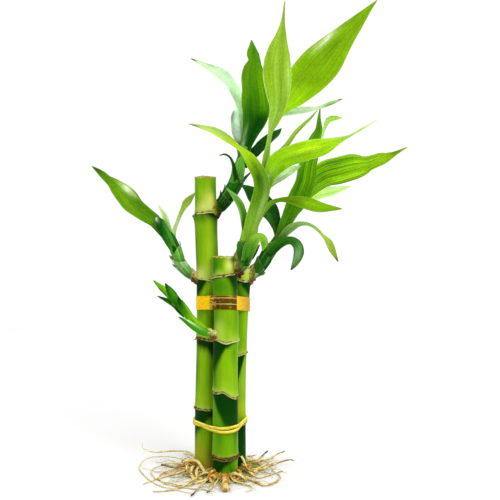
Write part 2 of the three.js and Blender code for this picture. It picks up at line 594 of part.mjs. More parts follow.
// Shoots and their leaves, each leaf kept clear of every shoot and of the leaves before it
const grownShoots = [];
for (const [name, shoot] of Object.entries(SHOOTS)) {
  addPiece(`shoot_${name}`, largestBody(clearOfCanes(solidOf(shootGeometry(shoot)))), shoot.colour);
  grownShoots.push(solidOf(shootGeometry(shoot, CLEARANCE)));
}
const earlierLeaves = [];
for (const [name, leaves] of Object.entries(LEAVES)) {
  leaves.forEach((leaf, i) => {
    let blade = clearOfCanes(solidOf(leafGeometry(leaf)));
    for (const neighbour of [...grownShoots, ...earlierLeaves]) {
      blade = blade.subtract(neighbour);
    }
    addPiece(`leaf_${name}_${i + 1}`, largestBody(blade), leaf.colour);
    earlierLeaves.push(solidOf(leafGeometry(leaf, CLEARANCE)));
  });
}

export default group;
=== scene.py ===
import math
from collections import namedtuple

import bpy
import numpy as np
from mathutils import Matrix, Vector


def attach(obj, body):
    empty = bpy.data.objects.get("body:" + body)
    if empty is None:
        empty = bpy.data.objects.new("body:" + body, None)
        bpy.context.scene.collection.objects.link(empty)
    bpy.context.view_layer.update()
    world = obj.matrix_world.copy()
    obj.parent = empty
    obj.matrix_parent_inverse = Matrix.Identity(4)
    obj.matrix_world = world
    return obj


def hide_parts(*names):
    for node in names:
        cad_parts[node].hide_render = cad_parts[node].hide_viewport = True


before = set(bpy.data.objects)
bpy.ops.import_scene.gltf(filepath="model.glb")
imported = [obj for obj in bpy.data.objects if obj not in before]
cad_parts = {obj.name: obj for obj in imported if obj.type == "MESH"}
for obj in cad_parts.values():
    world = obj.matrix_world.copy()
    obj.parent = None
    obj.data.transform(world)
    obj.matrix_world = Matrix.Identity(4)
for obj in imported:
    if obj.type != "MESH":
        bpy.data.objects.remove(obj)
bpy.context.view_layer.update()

# Canes: three cut lengths of a dracaena stem, solid and waxy green, each ringed by slanted leaf scars.
# They are grown: the skin is dark where a leaf has lately come away under a scar and pale just above one.
# Both ends are sawn square, and the cuts have dried to a tan rim round a paler, fibrous core.
MM = 0.001
SKIN_LIME = "#7fb808"
SKIN_FRESH = "#97c912"
SKIN_PALE = "#cfe062"
SKIN_DARK = "#033c01"
SKIN_SHADED = "#2f7a04"
SKIN_OLIVE = "#8aa020"
SKIN_FOOT = "#d2b22c"
SCAR_CREAM = "#efe4a6"
SCAR_TAN = "#b8963c"
SCAR_BROWN = "#6e4610"
SCAR_OLD = "#2a1a04"
SCAR_CRACK = "#1a1404"
CUT_RIM = "#c9974c"
CUT_RIM_FRESH = "#d8c050"
CUT_CORE = "#e3dc8c"
WAX_SHEEN = "#eefcc4"

# A scar ring: its height, how far it rises to the azimuth of its high side, the depth of its double sway, how
# far the dark skin runs down at the left, middle and right, the length of the pale skin above, how brown it
# is, how thick its lip is, and its own bumps and dips as (azimuth, half width in degrees, height)
Ring = namedtuple("Ring", "height rise high sway dark pale age lip bumps")

# A cane's foot is the height that the old olive skin reaches, its rim is the colour of its sawn edge, its
# axis is (x, y, z) and its girth is (height, share of the radius). Its patches are (height, azimuth, spread
# up and down, spread round in degrees, colour, strength): some are the skin's own tones, and some are painted
# highlights and painted shade on its lit and turned-away sides.
Cane = namedtuple("Cane", "radius foot rim axis rings girth patches")
CANES = {}
CANES["tall"] = Cane(
    radius=8.2, foot=20, rim=CUT_RIM,
    axis=[
        (-13.4, 12, 0), (-13.2, 12, 40), (-12.1, 12, 88), (-12.2, 12, 125), (-13.6, 12, 165),
        (-14.2, 12, 201)],
    rings=[
        Ring(43.2, 0.3, 180, 0.2, (20, 9, 2), 5, 0.95, 1.1, []),
        Ring(90, 0.9, 200, 0.3, (5, 7, 20), 4, 1, 1.2, []),
        Ring(130.8, 0.8, 180, 0.3, (15, 1, -3), 12, 0.3, 0.9, []),
        Ring(176.8, 1.6, 20, 0.5, (1, 2, 7), 7, 0.65, 1.3, [(192, 28, -1.2)])],
    girth=[
        (0, 1), (60, 0.98), (125, 0.97), (135, 0.94), (160, 0.94), (167, 0.95), (172, 0.99), (175.8, 1.07),
        (176.6, 1.03), (177.6, 0.93), (181, 0.895), (201, 0.89)],
    patches=[
        (185, 302, 6.5, 38, "#f8ff6c", 0.9), (197, 262, 3.5, 60, "#7cb80c", 0.7),
        (190, 195, 12, 28, "#4a9a04", 0.85), (192.5, 325, 4, 22, "#4fa006", 0.8),
        (194, 285, 4, 16, "#a6d024", 0.6), (188, 345, 10, 20, "#7fae1c", 0.6),
        (180.5, 285, 3, 60, "#faf890", 0.7), (173, 270, 3.5, 95, "#3f8204", 0.8),
        (168, 330, 7, 26, "#2f7204", 0.85), (156, 198, 15, 18, "#4f8f06", 0.8),
        (155, 240, 14, 16, "#72a80a", 0.5), (152, 290, 22, 22, "#b2d822", 0.75),
        (148, 335, 22, 16, "#5c9c08", 0.7), (134, 219, 4, 28, "#f6f0a4", 1),
        (138, 285, 6, 30, "#c6e040", 0.7), (110, 230, 5, 22, "#5c9a06", 0.7),
        (103, 300, 10, 30, "#2a6604", 0.8), (98, 215, 5, 30, "#9cc81a", 0.7),
        (70, 200, 18, 24, "#3c7c04", 0.75), (66, 300, 16, 24, "#2f6e04", 0.6),
        (60, 245, 14, 18, "#7fb20a", 0.6), (50, 250, 5, 50, "#a2cc20", 0.7),
        (25, 200, 22, 20, "#4a7c06", 0.7), (26, 250, 12, 20, "#7ea80c", 0.6),
        (12, 225, 8, 40, "#b4b41c", 0.9), (3, 215, 4, 40, "#d8b428", 0.7), (24, 300, 20, 22, "#3f6e04", 0.6)])
CANES["front"] = Cane(
    radius=8.5, foot=3, rim=CUT_RIM_FRESH,
    axis=[(-0.6, 0, 0), (0, 0, 35), (0, 0, 75), (0.6, 0, 105), (-0.3, 0, 130), (-0.6, 0, 147)],
    rings=[
        Ring(13.6, 0.5, 0, 0.4, (20, 6, 1), 4, 1.5, 1.7, []),
        Ring(55.2, 2, 180, 0, (2, 23, 26), 6, 0.8, 1.1, [(262, 19, 2.3), (318, 20, -0.8)]),
        Ring(91.9, 0.5, 180, 0, (26, 5, 0), 5, 0.4, 1.3, [(272, 42, -1.9)]),
        Ring(134.2, 2.2, 0, 0.4, (2, 0, 12), 4, 0.7, 1.2, [])],
    girth=[(0, 1), (55, 0.99), (60, 0.97), (90, 0.98), (96, 0.96), (132, 0.97), (147, 0.95)],
    patches=[
        (141, 222, 10, 32, "#228204", 0.95), (145, 262, 1.6, 60, "#4fa008", 0.6),
        (141, 252, 5, 18, "#4f9408", 0.8), (140, 292, 5.5, 26, "#cdee2c", 0.9),
        (141, 296, 4, 14, "#f6f890", 1), (144.5, 318, 2.5, 24, "#56a00a", 0.85),
        (98.5, 226, 6, 26, "#ecf27c", 0.95), (136.5, 250, 2.5, 26, "#b8e03c", 0.7),
        (127, 235, 8, 90, "#3f8a02", 0.9), (125, 325, 12, 26, "#124f02", 0.95),
        (107, 212, 8, 26, "#4f9606", 0.7), (104, 285, 9, 30, "#7cb40a", 0.5),
        (97, 235, 4.5, 34, "#b2dc3c", 0.8), (104, 325, 12, 16, "#5f9c08", 0.7),
        (96, 300, 3, 30, "#a4d426", 0.6), (84, 312, 12, 20, "#4c9404", 0.7),
        (72, 290, 12, 24, "#8cc80c", 0.8), (62, 275, 4, 40, "#a8d42c", 0.5),
        (70, 212, 16, 20, "#2f7a04", 0.8), (44, 215, 10, 24, "#4fa00a", 0.75),
        (33, 285, 13, 26, "#66aa04", 0.85), (30, 245, 14, 26, "#3f8c04", 0.8),
        (30, 325, 14, 18, "#3a8604", 0.8), (20, 300, 4, 34, "#6cae0a", 0.6), (6, 225, 7, 36, "#054a02", 0.95),
        (6, 300, 7, 30, "#147c02", 0.95), (1.5, 280, 1.6, 70, "#b8cc54", 0.5)])
CANES["right"] = Cane(
    radius=6.5, foot=6, rim=CUT_RIM,
    axis=[(7, 13.8, 0), (7.1, 13.8, 60), (8.6, 13.2, 105), (11.2, 12.6, 139)],
    rings=[
        Ring(32, 0.6, 0, 0.2, (40, 40, 40), 4, 0.8, 1.1, []),
        Ring(79.6, 1, 0, 0.2, (34, 24, -4), 5, 0.55, 1.1, []),
        Ring(130.4, 0.8, 180, 0.3, (5, 2.5, 13), 7, 0.5, 1.1, [])],
    girth=[(0, 1), (139, 1)],
    patches=[
        (134.5, 285, 3.4, 50, "#dcf04a", 0.95), (138, 300, 1.6, 40, "#f0f2a8", 0.9),
        (121, 262, 9, 50, "#3a8806", 0.85), (60, 320, 12, 24, "#a4cc3c", 0.6),
        (100, 330, 16, 30, "#8cc014", 0.5), (100, 285, 16, 20, "#5c9a06", 0.5),
        (42, 290, 6, 60, "#c4d81c", 0.8), (20, 320, 14, 26, "#0c4404", 0.6)])
CANE_COLUMNS = 132
SCAR_HOLD = 10.5        # how far from a scar the skin still slants with it

# A scar's lip in profile, as (how far above the scar in lip thicknesses, how far it stands out)
LIP_PROFILE = [(-5, 0), (-1.6, 0.05), (-0.75, 0.22), (-0.42, 0.85), (-0.05, 1.0), (0.5, 0.85), (0.9, 0.5),
               (1.7, 0.36), (3, 0.2), (7, 0)]

# The sawn top from its edge inwards, as (share of the radius, how far below the top), and then the sawn foot
TOP_CUT = [(1.03, 0.1), (0.98, -0.1), (0.92, 0.0), (0.86, 0.55), (0.68, 0.8), (0.45, 0.6), (0.2, 0.7)]
FOOT_CUT = [0.93, 0.6, 0.25]
ROOM_LIGHT = 0.74       # share of a web colour that looks right in the bright white room


def paint(code):
    """What a surface sends back when it looks like that web colour in the bright white room"""
    shares = np.array([int(code[k:k + 2], 16) / 255 for k in (1, 3, 5)])
    return ROOM_LIGHT * np.where(shares <= 0.04045, shares / 12.92, ((shares + 0.055) / 1.055) ** 2.4)


def soft(value, low, high):
    """0 below low, 1 above high and an easy slope between"""
    share = np.clip((value - low) / (high - low), 0, 1)
    return share * share * (3 - 2 * share)


def blended(one, other, share):
    """One colour changed towards another by a share at each point"""
    return one + (other - one) * share[..., None]


def uneven(angles, seed, finest=9):
    """A wandering value round a ring, about -1 to 1, that closes on itself"""
    numbers = np.random.default_rng(seed)
    total = np.zeros_like(angles)
    for count in range(2, finest + 1):
        total += numbers.normal() * np.cos(count * angles + numbers.uniform(0, 6.3)) / count ** 0.4
    return total / 1.8


def turned_from(angles, azimuth):
    """How far angles are turned from an azimuth, in degrees either way"""
    return np.degrees(np.angle(np.exp(1j * (angles - math.radians(azimuth)))))


def follow(line, shares):
    """Points, directions and sizes at shares of the length of a smooth line through (x, y, z, size)"""
    knots = np.array(line, float)
    ends = [2 * knots[0] - knots[1]], [2 * knots[-1] - knots[-2]]
    knots = np.vstack([ends[0], knots, ends[1]])
    places = []
    for before, start, stop, after in zip(knots, knots[1:], knots[2:], knots[3:]):
        gaps = [max(np.linalg.norm((b - a)[:3]), 1e-6) ** 0.5
                for a, b in ((before, start), (start, stop), (stop, after))]
        leave = (start - before) / gaps[0] - (stop - before) / (gaps[0] + gaps[1]) + (stop - start) / gaps[1]
        reach = (stop - start) / gaps[1] - (after - start) / (gaps[1] + gaps[2]) + (after - stop) / gaps[2]
        leave, reach = leave * gaps[1], reach * gaps[1]
        t = np.linspace(0, 1, 24, endpoint=False)[:, None]
        places.append(start + leave * t + (3 * (stop - start) - 2 * leave - reach) * t ** 2
                      + (2 * (start - stop) + leave + reach) * t ** 3)
    dense = np.vstack([*places, knots[-2:-1]])
    lengths = np.concatenate([[0], np.cumsum(np.linalg.norm(np.diff(dense[:, :3], axis=0), axis=1))])
    wanted = np.asarray(shares, float) * lengths[-1]
    found = np.stack([np.interp(wanted, lengths, column) for column in dense.T], -1)
    slopes = np.gradient(dense[:, :3], lengths, axis=0)
    ahead = np.stack([np.interp(wanted, lengths, column) for column in slopes.T], -1)
    ahead /= np.linalg.norm(ahead, axis=-1, keepdims=True)
    return found[..., :3], ahead, found[..., 3] if dense.shape[1] > 3 else None, lengths[-1]


def skinned(name, grid, tints, across, along, joined=False):
    """A closed skin over rows of points, each row a loop. Its ends are closed, or joined to each other.
    tints are red, green, blue and a fourth share at each point; across and along are its UV places."""
    rows, columns = grid.shape[:2]
    points = grid.reshape(-1, 3)
    tints = tints.reshape(-1, 4)
    i, j = np.meshgrid(np.arange(rows if joined else rows - 1), np.arange(columns), indexing="ij")
    i, j = i.ravel(), j.ravel()
    ahead, beside = (i + 1) % rows, (j + 1) % columns
    here, there = i * columns, ahead * columns
    faces = np.stack([here + j, here + beside, there + beside, there + j], 1)
    spots = np.stack([across[j], along[i], across[j + 1], along[i], across[j + 1], along[i + 1],
                      across[j], along[i + 1]], 1).reshape(-1, 4, 2)
    faces, spots = faces.tolist(), list(spots)
    if not joined:
        ends = (0, len(points)), (rows - 1, len(points) + 1)
        points = np.vstack([points, grid[0].mean(0), grid[-1].mean(0)])
        tints = np.vstack([tints, tints[:columns].mean(0), tints[-columns:].mean(0)])
        for row, pole in ends:
            for k in range(columns):
                pair = [row * columns + k, row * columns + (k + 1) % columns]
                turned = pair[::-1] if row == 0 else pair
                faces.append([*turned, pole])
                places = [(across[k], along[row]), (across[k + 1], along[row])]
                spots.append(np.array([*(places[::-1] if row == 0 else places), (across[k], along[row])]))
    # The volume inside tells which way the faces turn, and a seventh of them is enough to tell its sign
    corners = [points[[face[0], face[k], face[k + 1]]]
               for face in faces[::7] for k in range(1, len(face) - 1)]
    first, second, third = np.array(corners).transpose(1, 0, 2)
    middle = points.mean(0)
    volume = np.einsum("ij,ij->i", first - middle, np.cross(second - middle, third - middle)).sum()
    if volume <= 0:
        faces = [face[::-1] for face in faces]
        spots = [spot[::-1] for spot in spots]
    mesh = bpy.data.meshes.new(name)
    mesh.from_pydata((points * MM).tolist(), [], faces)
    unfolded = mesh.uv_layers.new(name="grown")
    unfolded.data.foreach_set("uv", np.concatenate(spots).astype(np.float32).ravel())
    colour = mesh.color_attributes.new("tint", "FLOAT_COLOR", "POINT")
    colour.data.foreach_set("color", tints.astype(np.float32).ravel())
    mesh.shade_smooth()
    piece = bpy.data.objects.new(name, mesh)
    bpy.context.scene.collection.objects.link(piece)
    return piece


def cane_middle(cane, heights):
    """x and y of a cane's middle line at heights"""
    line = follow([(*place, 0) for place in cane.axis], np.linspace(0, 1, 200))[0]
    return [np.interp(heights, line[:, 2], line[:, k]) for k in (0, 1)]


def cane_reach(cane, heights):
    """A cane's radius at heights, without its rings"""
    return cane.radius * np.interp(heights, *zip(*cane.girth))


def ring_height(ring, angles):
    """How far a scar ring stands above its own height, round the cane"""
    slant = ring.rise * np.cos(angles - math.radians(ring.high)) + ring.sway * np.cos(2 * angles - 1.2)
    for azimuth, wide, bump in ring.bumps:
        slant = slant + bump * np.exp(-(turned_from(angles, azimuth) / wide) ** 2)
    return slant + 0.22 * uneven(angles, int(ring.height * 10))


def ring_tints(tint, ring, height, angle):
    """A skin's colours with one ring's own on them, and how dry the scar is at each point: dark where a leaf
    has come away below it, pale above it, and cream and brown along its lip"""
    below = ring.height - height
    from_lip = below / ring.lip
    wobble = uneven(angle, int(ring.height), 24)
    side = np.cos(angle)
    left, middle, right = ring.dark
    deep = np.where(side < 0, middle + (left - middle) * -side, middle + (right - middle) * side)
    deep = np.minimum(deep, 28 if left < 35 else 60) + 0.35 * wobble
    dark = soft(below, -0.3, 0.3) * soft(deep - below, -2.2 - 0.12 * below, 2.4 + 0.2 * below)
    pale = soft(-below, 0, 0.8) * soft(below + ring.pale, 0, ring.pale) * (0.26 + 0.04 * ring.pale)
    tint = blended(tint, paint(SKIN_PALE), pale)
    tint = blended(tint, blended(paint(SKIN_DARK), paint(SKIN_SHADED), soft(below, 0, 30) * 0.22), dark)
    cream = soft(-np.abs(from_lip - 0.14 - 0.08 * wobble), -0.5, -0.26) * np.clip(1.3 - 0.6 * ring.age, 0, 1)
    brown = np.exp(-((from_lip + 0.42 + 0.1 * wobble) / (0.2 + 0.22 * ring.age)) ** 2)
    brown += np.exp(-((from_lip - 0.5) / 0.12) ** 2) * (0.4 + 0.5 * ring.age)
    brown += soft(wobble, 0.7, 1.3) * soft(-np.abs(from_lip), -0.7, -0.4) * ring.age
    brown = np.clip(brown * (ring.age * 1.2 + 0.4 * wobble), 0, 1)
    tint = blended(tint, paint(SCAR_CREAM), np.clip(cream, 0, 1))
    oldest = np.clip(ring.age - 0.8, 0, 1)
    tint = blended(tint, paint(SCAR_BROWN) + (paint(SCAR_OLD) - paint(SCAR_BROWN)) * oldest, brown)
    mottled = ring.age * uneven(angle + height * 2, int(ring.height), 30)
    tint = blended(tint, paint(SCAR_CRACK), brown * soft(mottled, 0.4, 1.2))
    tint = blended(tint, paint(SCAR_TAN), brown * soft(-mottled, 0.3, 1.1) * 0.85)
    return tint, np.clip(cream + brown, 0, 1)


def cane_levels(cane, top):
    """Heights of the rows of a cane's skin, closest at its rings and at its top"""
    levels = [np.arange(0, top, 0.9), np.arange(top - 2.8, top, 0.2), [top - 0.5]]
    levels += [ring.height + np.arange(-2.6, 2.8, 0.16) for ring in cane.rings]
    levels = np.unique(np.round(np.concatenate(levels), 2))
    levels = levels[np.concatenate([[True], np.diff(levels) > 0.1])]
    return levels[levels <= top - 0.5]


def cut_row(cane, end, spread, level, angles, colour):
    """One round of a sawn end, about the cane's middle at that end's height, and its tints"""
    x, y = cane_middle(cane, end)
    place = np.stack([x + spread * np.cos(angles), y + spread * np.sin(angles), level], -1)
    return place[None], np.concatenate([colour, np.ones((CANE_COLUMNS, 1))], -1)[None]


def cane_skin(name, cane):
    """A cane's wall from its sawn foot to its sawn top. The fourth share of its tints is how dry it is."""
    top = cane.axis[-1][2]
    angles = np.linspace(0, 2 * math.pi, CANE_COLUMNS, endpoint=False)
    levels = cane_levels(cane, top)
    height, angle = np.meshgrid(levels, angles, indexing="ij")
    reach = cane_reach(cane, height)
    reach += 0.10 * np.cos(3 * angle + height * 0.02) + 0.07 * np.sin(5 * angle - height * 0.03)
    fresh = np.clip(0.35 + 0.2 * uneven(angle, int(top), 30), 0, 1)
    tint = blended(np.ones((*height.shape, 3)) * paint(SKIN_LIME), paint(SKIN_FRESH), fresh)
    foot = soft(cane.foot + 3 * uneven(angle, 4), height - 7, height + 7)
    tint = blended(tint, paint(SKIN_OLIVE), foot * 0.8)
    tint = blended(tint, paint(SKIN_FOOT), foot * soft(-height, -14, -4) * 0.8)
    # The patches paint the skin's own tones, and painted highlights and painted shade as well
    for level, azimuth, tall, wide, colour, strength in cane.patches:
        near = np.exp(-((height - level) / tall) ** 2 - (turned_from(angle, azimuth) / wide) ** 2)
        tint = blended(tint, paint(colour), near * strength)
    lifted, dry = height.copy(), np.zeros_like(height)
    for ring in cane.rings:
        below = ring.height - height
        lifted += np.clip(1 - (below / SCAR_HOLD) ** 2, 0, 1) ** 2 * ring_height(ring, angle)
        reach += np.interp(-below / ring.lip, *zip(*LIP_PROFILE)) * min(0.45 + 0.32 * ring.lip, 0.85)
        wobble = uneven(angle, int(ring.height), 24)
        reach += (0.14 + 0.12 * ring.age) * wobble * np.exp(-(below / ring.lip / 0.6) ** 2)
        tint, scarred = ring_tints(tint, ring, height, angle)
        dry = np.maximum(dry, scarred)
    ragged = uneven(angle, int(top) + 1, 26)
    sawn = soft(height - top + 0.95 + 0.45 * ragged, -0.3, 0.3)
    reach += 0.2 * sawn * (1 + 0.35 * ragged)
    tint = blended(tint, paint(cane.rim), sawn * 0.95)
    tint = blended(tint, paint(SCAR_CREAM), sawn * soft(uneven(angle, int(top) + 2, 6), -1.3, 0.6) * 0.85)
    x, y = cane_middle(cane, lifted)
    rows = [np.stack([x + reach * np.cos(angle), y + reach * np.sin(angle), lifted], -1)]
    colours = [np.concatenate([tint, np.maximum(dry, sawn)[..., None]], -1)]
    along = [*(levels / 100)]
    rough = uneven(angles, 77, 26)
    for share, sunk in TOP_CUT:
        on_rim = share > 0.85
        level = top - sunk - (0.1 + 0.16 * rough) * on_rim
        colour = paint(cane.rim if on_rim else CUT_CORE) * (1 + 0.18 * rough[:, None] * on_rim)
        row, shade = cut_row(cane, top, cane.radius * cane.girth[-1][1] * share, level, angles, colour)
        rows.append(row)
        colours.append(shade)
        along.append(top / 100 + (1 - share) * 0.05)
    for share in FOOT_CUT:
        colour = np.ones((CANE_COLUMNS, 3)) * paint(CUT_RIM if share > 0.9 else CUT_CORE)
        row, shade = cut_row(cane, 0, cane.radius * share, 0 * angles, angles, colour)
        rows.insert(0, row)
        colours.insert(0, shade)
        along.insert(0, -(1 - share) * 0.05)
    around = np.linspace(0, 1, CANE_COLUMNS + 1)
    return skinned(name, np.concatenate(rows), np.concatenate(colours), around, np.array(along))


def put(tree, kind, feeds=None, **settings):
    """One node of a tree with its settings. Feeds are values, or sockets of other nodes, for its inputs."""
    made = tree.nodes.new(kind)
    for name, value in settings.items():
        setattr(made, name, value)
    for name, value in (feeds or {}).items():
        if isinstance(value, bpy.types.NodeSocket):
            tree.links.new(value, made.inputs[name])
        else:
            made.inputs[name].default_value = value
    return made


def grain(tree, place, stretch, scale, detail=3.0):
    """Noise stretched along a piece: its share at each spot, from a place socket"""
    laid = put(tree, "ShaderNodeMapping", {"Vector": place, "Scale": stretch})
    feeds = {"Vector": laid.outputs[0], "Scale": scale, "Detail": detail}
    return put(tree, "ShaderNodeTexNoise", feeds).outputs[0]


def maths(tree, operation, one, other=0.0):
    return put(tree, "ShaderNodeMath", {0: one, 1: other}, operation=operation).outputs[0]


def scaled(tree, value, low, high, out_low, out_high):
    """A value that runs from one range to another and stops at its ends"""
    feeds = {"Value": value, "From Min": low, "From Max": high, "To Min": out_low, "To Max": out_high}
    return put(tree, "ShaderNodeMapRange", feeds).outputs[0]


def times(tree, colour, shade):
    """A colour made lighter or darker by a plain share"""
    return put(tree, "ShaderNodeVectorMath", {0: colour, 3: shade}, operation="SCALE").outputs[0]


def mixed(tree, share, one, other):
    """One colour changed towards another; each is a socket or a plain colour"""
    made = put(tree, "ShaderNodeMix", data_type="RGBA")
    for socket, value in ((made.inputs[0], share), (made.inputs[6], one), (made.inputs[7], other)):
        if isinstance(value, bpy.types.NodeSocket):
            tree.links.new(value, socket)
        elif socket == made.inputs[0]:
            socket.default_value = value
        else:
            socket.default_value = (*value, 1)
    return made.outputs[2]


def pressed_in(tree, shader, height, strength, distance=0.0003):
    """Fine relief on a finish, from a socket of heights"""
    bump = put(tree, "ShaderNodeBump", {"Strength": strength, "Distance": distance, "Height": height})
    tree.links.new(bump.outputs[0], shader.inputs["Normal"])


def new_finish(name):
    """An empty material: its tree, its Principled shader and the place of each spot on the object"""
    finish = bpy.data.materials.new(name)
    finish.use_nodes = True
    tree = finish.node_tree
    shader = tree.nodes["Principled BSDF"]
    place = put(tree, "ShaderNodeTexCoord").outputs["Object"]
    return finish, tree, shader, place


def cane_finish():
    finish, tree, shader, place = new_finish("waxy_cane_skin")
    own = put(tree, "ShaderNodeAttribute", attribute_name="tint")
    dry = own.outputs["Alpha"]
    streaks = grain(tree, place, (1, 1, 0.05), 1500)
    blotches = grain(tree, place, (1, 1, 0.35), 170, 4)
    pores = grain(tree, place, (1, 1, 1), 2600, 2)
    shade = maths(tree, "MULTIPLY", scaled(tree, streaks, 0.3, 0.7, 0.96, 1.03),
                  scaled(tree, blotches, 0.3, 0.7, 0.90, 1.08))
    living = times(tree, own.outputs["Color"], shade)
    crumbly = times(tree, own.outputs["Color"], scaled(tree, pores, 0.3, 0.7, 0.55, 1.25))
    tree.links.new(mixed(tree, dry, living, crumbly), shader.inputs["Base Color"])
    dull = put(tree, "ShaderNodeMix", {0: dry, 2: scaled(tree, blotches, 0.3, 0.7, 0.30, 0.42), 3: 0.85})
    tree.links.new(dull.outputs[0], shader.inputs["Roughness"])
    pressed_in(tree, shader, put(tree, "ShaderNodeMix", {0: dry, 2: streaks, 3: pores}).outputs[0], 0.18)
    shader.inputs["Specular IOR Level"].default_value = 0.03
    shader.inputs["Sheen Weight"].default_value = 1.0
    shader.inputs["Sheen Roughness"].default_value = 0.2
    shader.inputs["Sheen Tint"].default_value = (*paint(WAX_SHEEN), 1)
    return finish


waxy_cane_skin = cane_finish()
for which, cane in CANES.items():
    stem = cane_skin(f"cane_{which}_skin", cane)
    stem.data.materials.append(waxy_cane_skin)
    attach(stem, "root")
    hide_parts(f"cane_{which}")

# Dry fringe: the brown, papery shreds that the old leaf bases leave round each scar, thickest where a shoot
# has broken out. They are dead fibres, still rooted in the scar, and the thin skin of the scar holds them.
FRINGE_DEPTH = 0.55     # how far off the bare skin the shreds are rooted
FRINGE_SPACING = 0.5
FRINGE_LENGTH = 1.7
FRINGE_THICK = 0.2
FRINGE_BROWN = "#54330c"
FRINGE_TAN = "#c89a50"

# Where shreds are thick, as (cane, ring, azimuth of the middle, half width in degrees, length)
RAGGED = [("tall", 0, 250, 90, 0.8), ("tall", 1, 225, 50, 1.5), ("tall", 2, 195, 34, 2.2),
          ("tall", 3, 335, 45, 2.4), ("tall", 3, 250, 60, 0.6), ("front", 0, 270, 200, 0.7),
          ("front", 2, 205, 42, 2.0), ("front", 3, 330, 50, 2.8), ("right", 1, 300, 30, 0.7),
          ("right", 2, 335, 50, 2.2)]


def tree_for(name, sizes):
    """A Geometry Nodes tree with geometry in and out, and an input for each named size"""
    tree = bpy.data.node_groups.new(name, "GeometryNodeTree")
    tree.interface.new_socket("Geometry", in_out="OUTPUT", socket_type="NodeSocketGeometry")
    tree.interface.new_socket("Geometry", in_out="INPUT", socket_type="NodeSocketGeometry")
    for label, value in sizes.items():
        kind = "Int" if isinstance(value, int) else "Material" if label == "Finish" else "Float"
        socket = tree.interface.new_socket(label, in_out="INPUT", socket_type=f"NodeSocket{kind}")
        socket.default_value = value
    return tree, put(tree, "NodeGroupInput").outputs


def closing(tree, geometry, given):
    """The tree's last nodes: instances made real, smooth and finished"""
    real = put(tree, "GeometryNodeRealizeInstances", {"Geometry": geometry})
    smooth = put(tree, "GeometryNodeSetShadeSmooth", {"Geometry": real.outputs[0]})
    done = put(tree, "GeometryNodeSetMaterial", {"Geometry": smooth.outputs[0], "Material": given["Finish"]})
    put(tree, "NodeGroupOutput", {"Geometry": done.outputs[0]})


def path_host(name, paths, sizes, closed=False):
    """A bare mesh of joined points for a tree to work on, with a number stored at each point for each size"""
    mesh = bpy.data.meshes.new(name)
    edges, start = [], 0
    for path in paths:
        edges += [(start + k, start + k + 1) for k in range(len(path) - 1)]
        if closed:
            edges.append((start + len(path) - 1, start))
        start += len(path)
    mesh.from_pydata((np.concatenate(paths) * MM).tolist(), edges, [])
    for label, values in sizes.items():
        stored = mesh.attributes.new(label, "FLOAT", "POINT")
        stored.data.foreach_set("value", np.concatenate(values).astype(np.float32))
    host = bpy.data.objects.new(name, mesh)
    bpy.context.scene.collection.objects.link(host)
    return host


def shaped(name, host, tree, sizes):
    """The host after the tree, as a plain mesh object. The sizes go in by socket before it is evaluated."""
    bound = host.modifiers.new("shape", "NODES")
    bound.node_group = tree
    for item in tree.interface.items_tree:
        if item.in_out == "INPUT" and item.name in sizes:
            bound[item.identifier] = sizes[item.name]
    graph = bpy.context.evaluated_depsgraph_get()
    mesh = bpy.data.meshes.new_from_object(host.evaluated_get(graph))
    host.modifiers.remove(bound)
    bpy.data.objects.remove(host)
    piece = bpy.data.objects.new(name, mesh)
    bpy.context.scene.collection.objects.link(piece)
    return piece


def stored(tree, label):
    """The number stored under a label at each point"""
    return put(tree, "GeometryNodeInputNamedAttribute", {"Name": label}).outputs[0]


def fringe_tree():
    """Shreds stood round each ring at even steps, shaken a little out of place and leant at random"""
    tree, given = tree_for("dry_fringe", {"Spacing": 0.001, "Length": 0.002, "Thickness": 0.0002, "Seed": 4,
                                          "Finish": None})
    ring = put(tree, "GeometryNodeMeshToCurve", {"Mesh": given["Geometry"]}).outputs[0]
    even = put(tree, "GeometryNodeResampleCurve", {"Curve": ring, "Length": given["Spacing"]}, mode="LENGTH")
    loose = put(tree, "FunctionNodeRandomValue", {"Seed": given["Seed"]}, data_type="FLOAT_VECTOR")
    loose.inputs[0].default_value = (-0.0005, -0.0005, -0.0006)
    loose.inputs[1].default_value = (0.0005, 0.0005, 0.0006)
    moved = put(tree, "GeometryNodeSetPosition", {"Geometry": even.outputs[0], "Offset": loose.outputs[0]})
    shred = put(tree, "GeometryNodeMeshCone", {"Vertices": 5, "Side Segments": 3, "Radius Top": 0.00003,
                                               "Radius Bottom": given["Thickness"], "Depth": given["Length"]})
    lean = put(tree, "FunctionNodeRandomValue", {"Seed": maths(tree, "ADD", given["Seed"], 7)},
               data_type="FLOAT_VECTOR")
    lean.inputs[0].default_value = (-1, -1, -1.2)
    lean.inputs[1].default_value = (1, 1, 0.9)
    outward = put(tree, "ShaderNodeCombineXYZ", {0: stored(tree, "out_x"), 1: stored(tree, "out_y")})
    aim = put(tree, "ShaderNodeVectorMath", {0: outward.outputs[0], 1: lean.outputs[0]}, operation="ADD")
    turned = put(tree, "FunctionNodeAlignRotationToVector", {"Vector": aim.outputs[0]}, axis="Z")
    long = put(tree, "FunctionNodeRandomValue", {"Seed": maths(tree, "ADD", given["Seed"], 3)},
               data_type="FLOAT")
    long.inputs[2].default_value = 0.25
    long.inputs[3].default_value = 1.15
    size = maths(tree, "MULTIPLY", long.outputs[1], stored(tree, "ragged"))
    placed = put(tree, "GeometryNodeInstanceOnPoints",
                 {"Points": moved.outputs[0], "Instance": shred.outputs[0], "Rotation": turned.outputs[0],
                  "Scale": size})
    closing(tree, placed.outputs[0], given)
    return tree


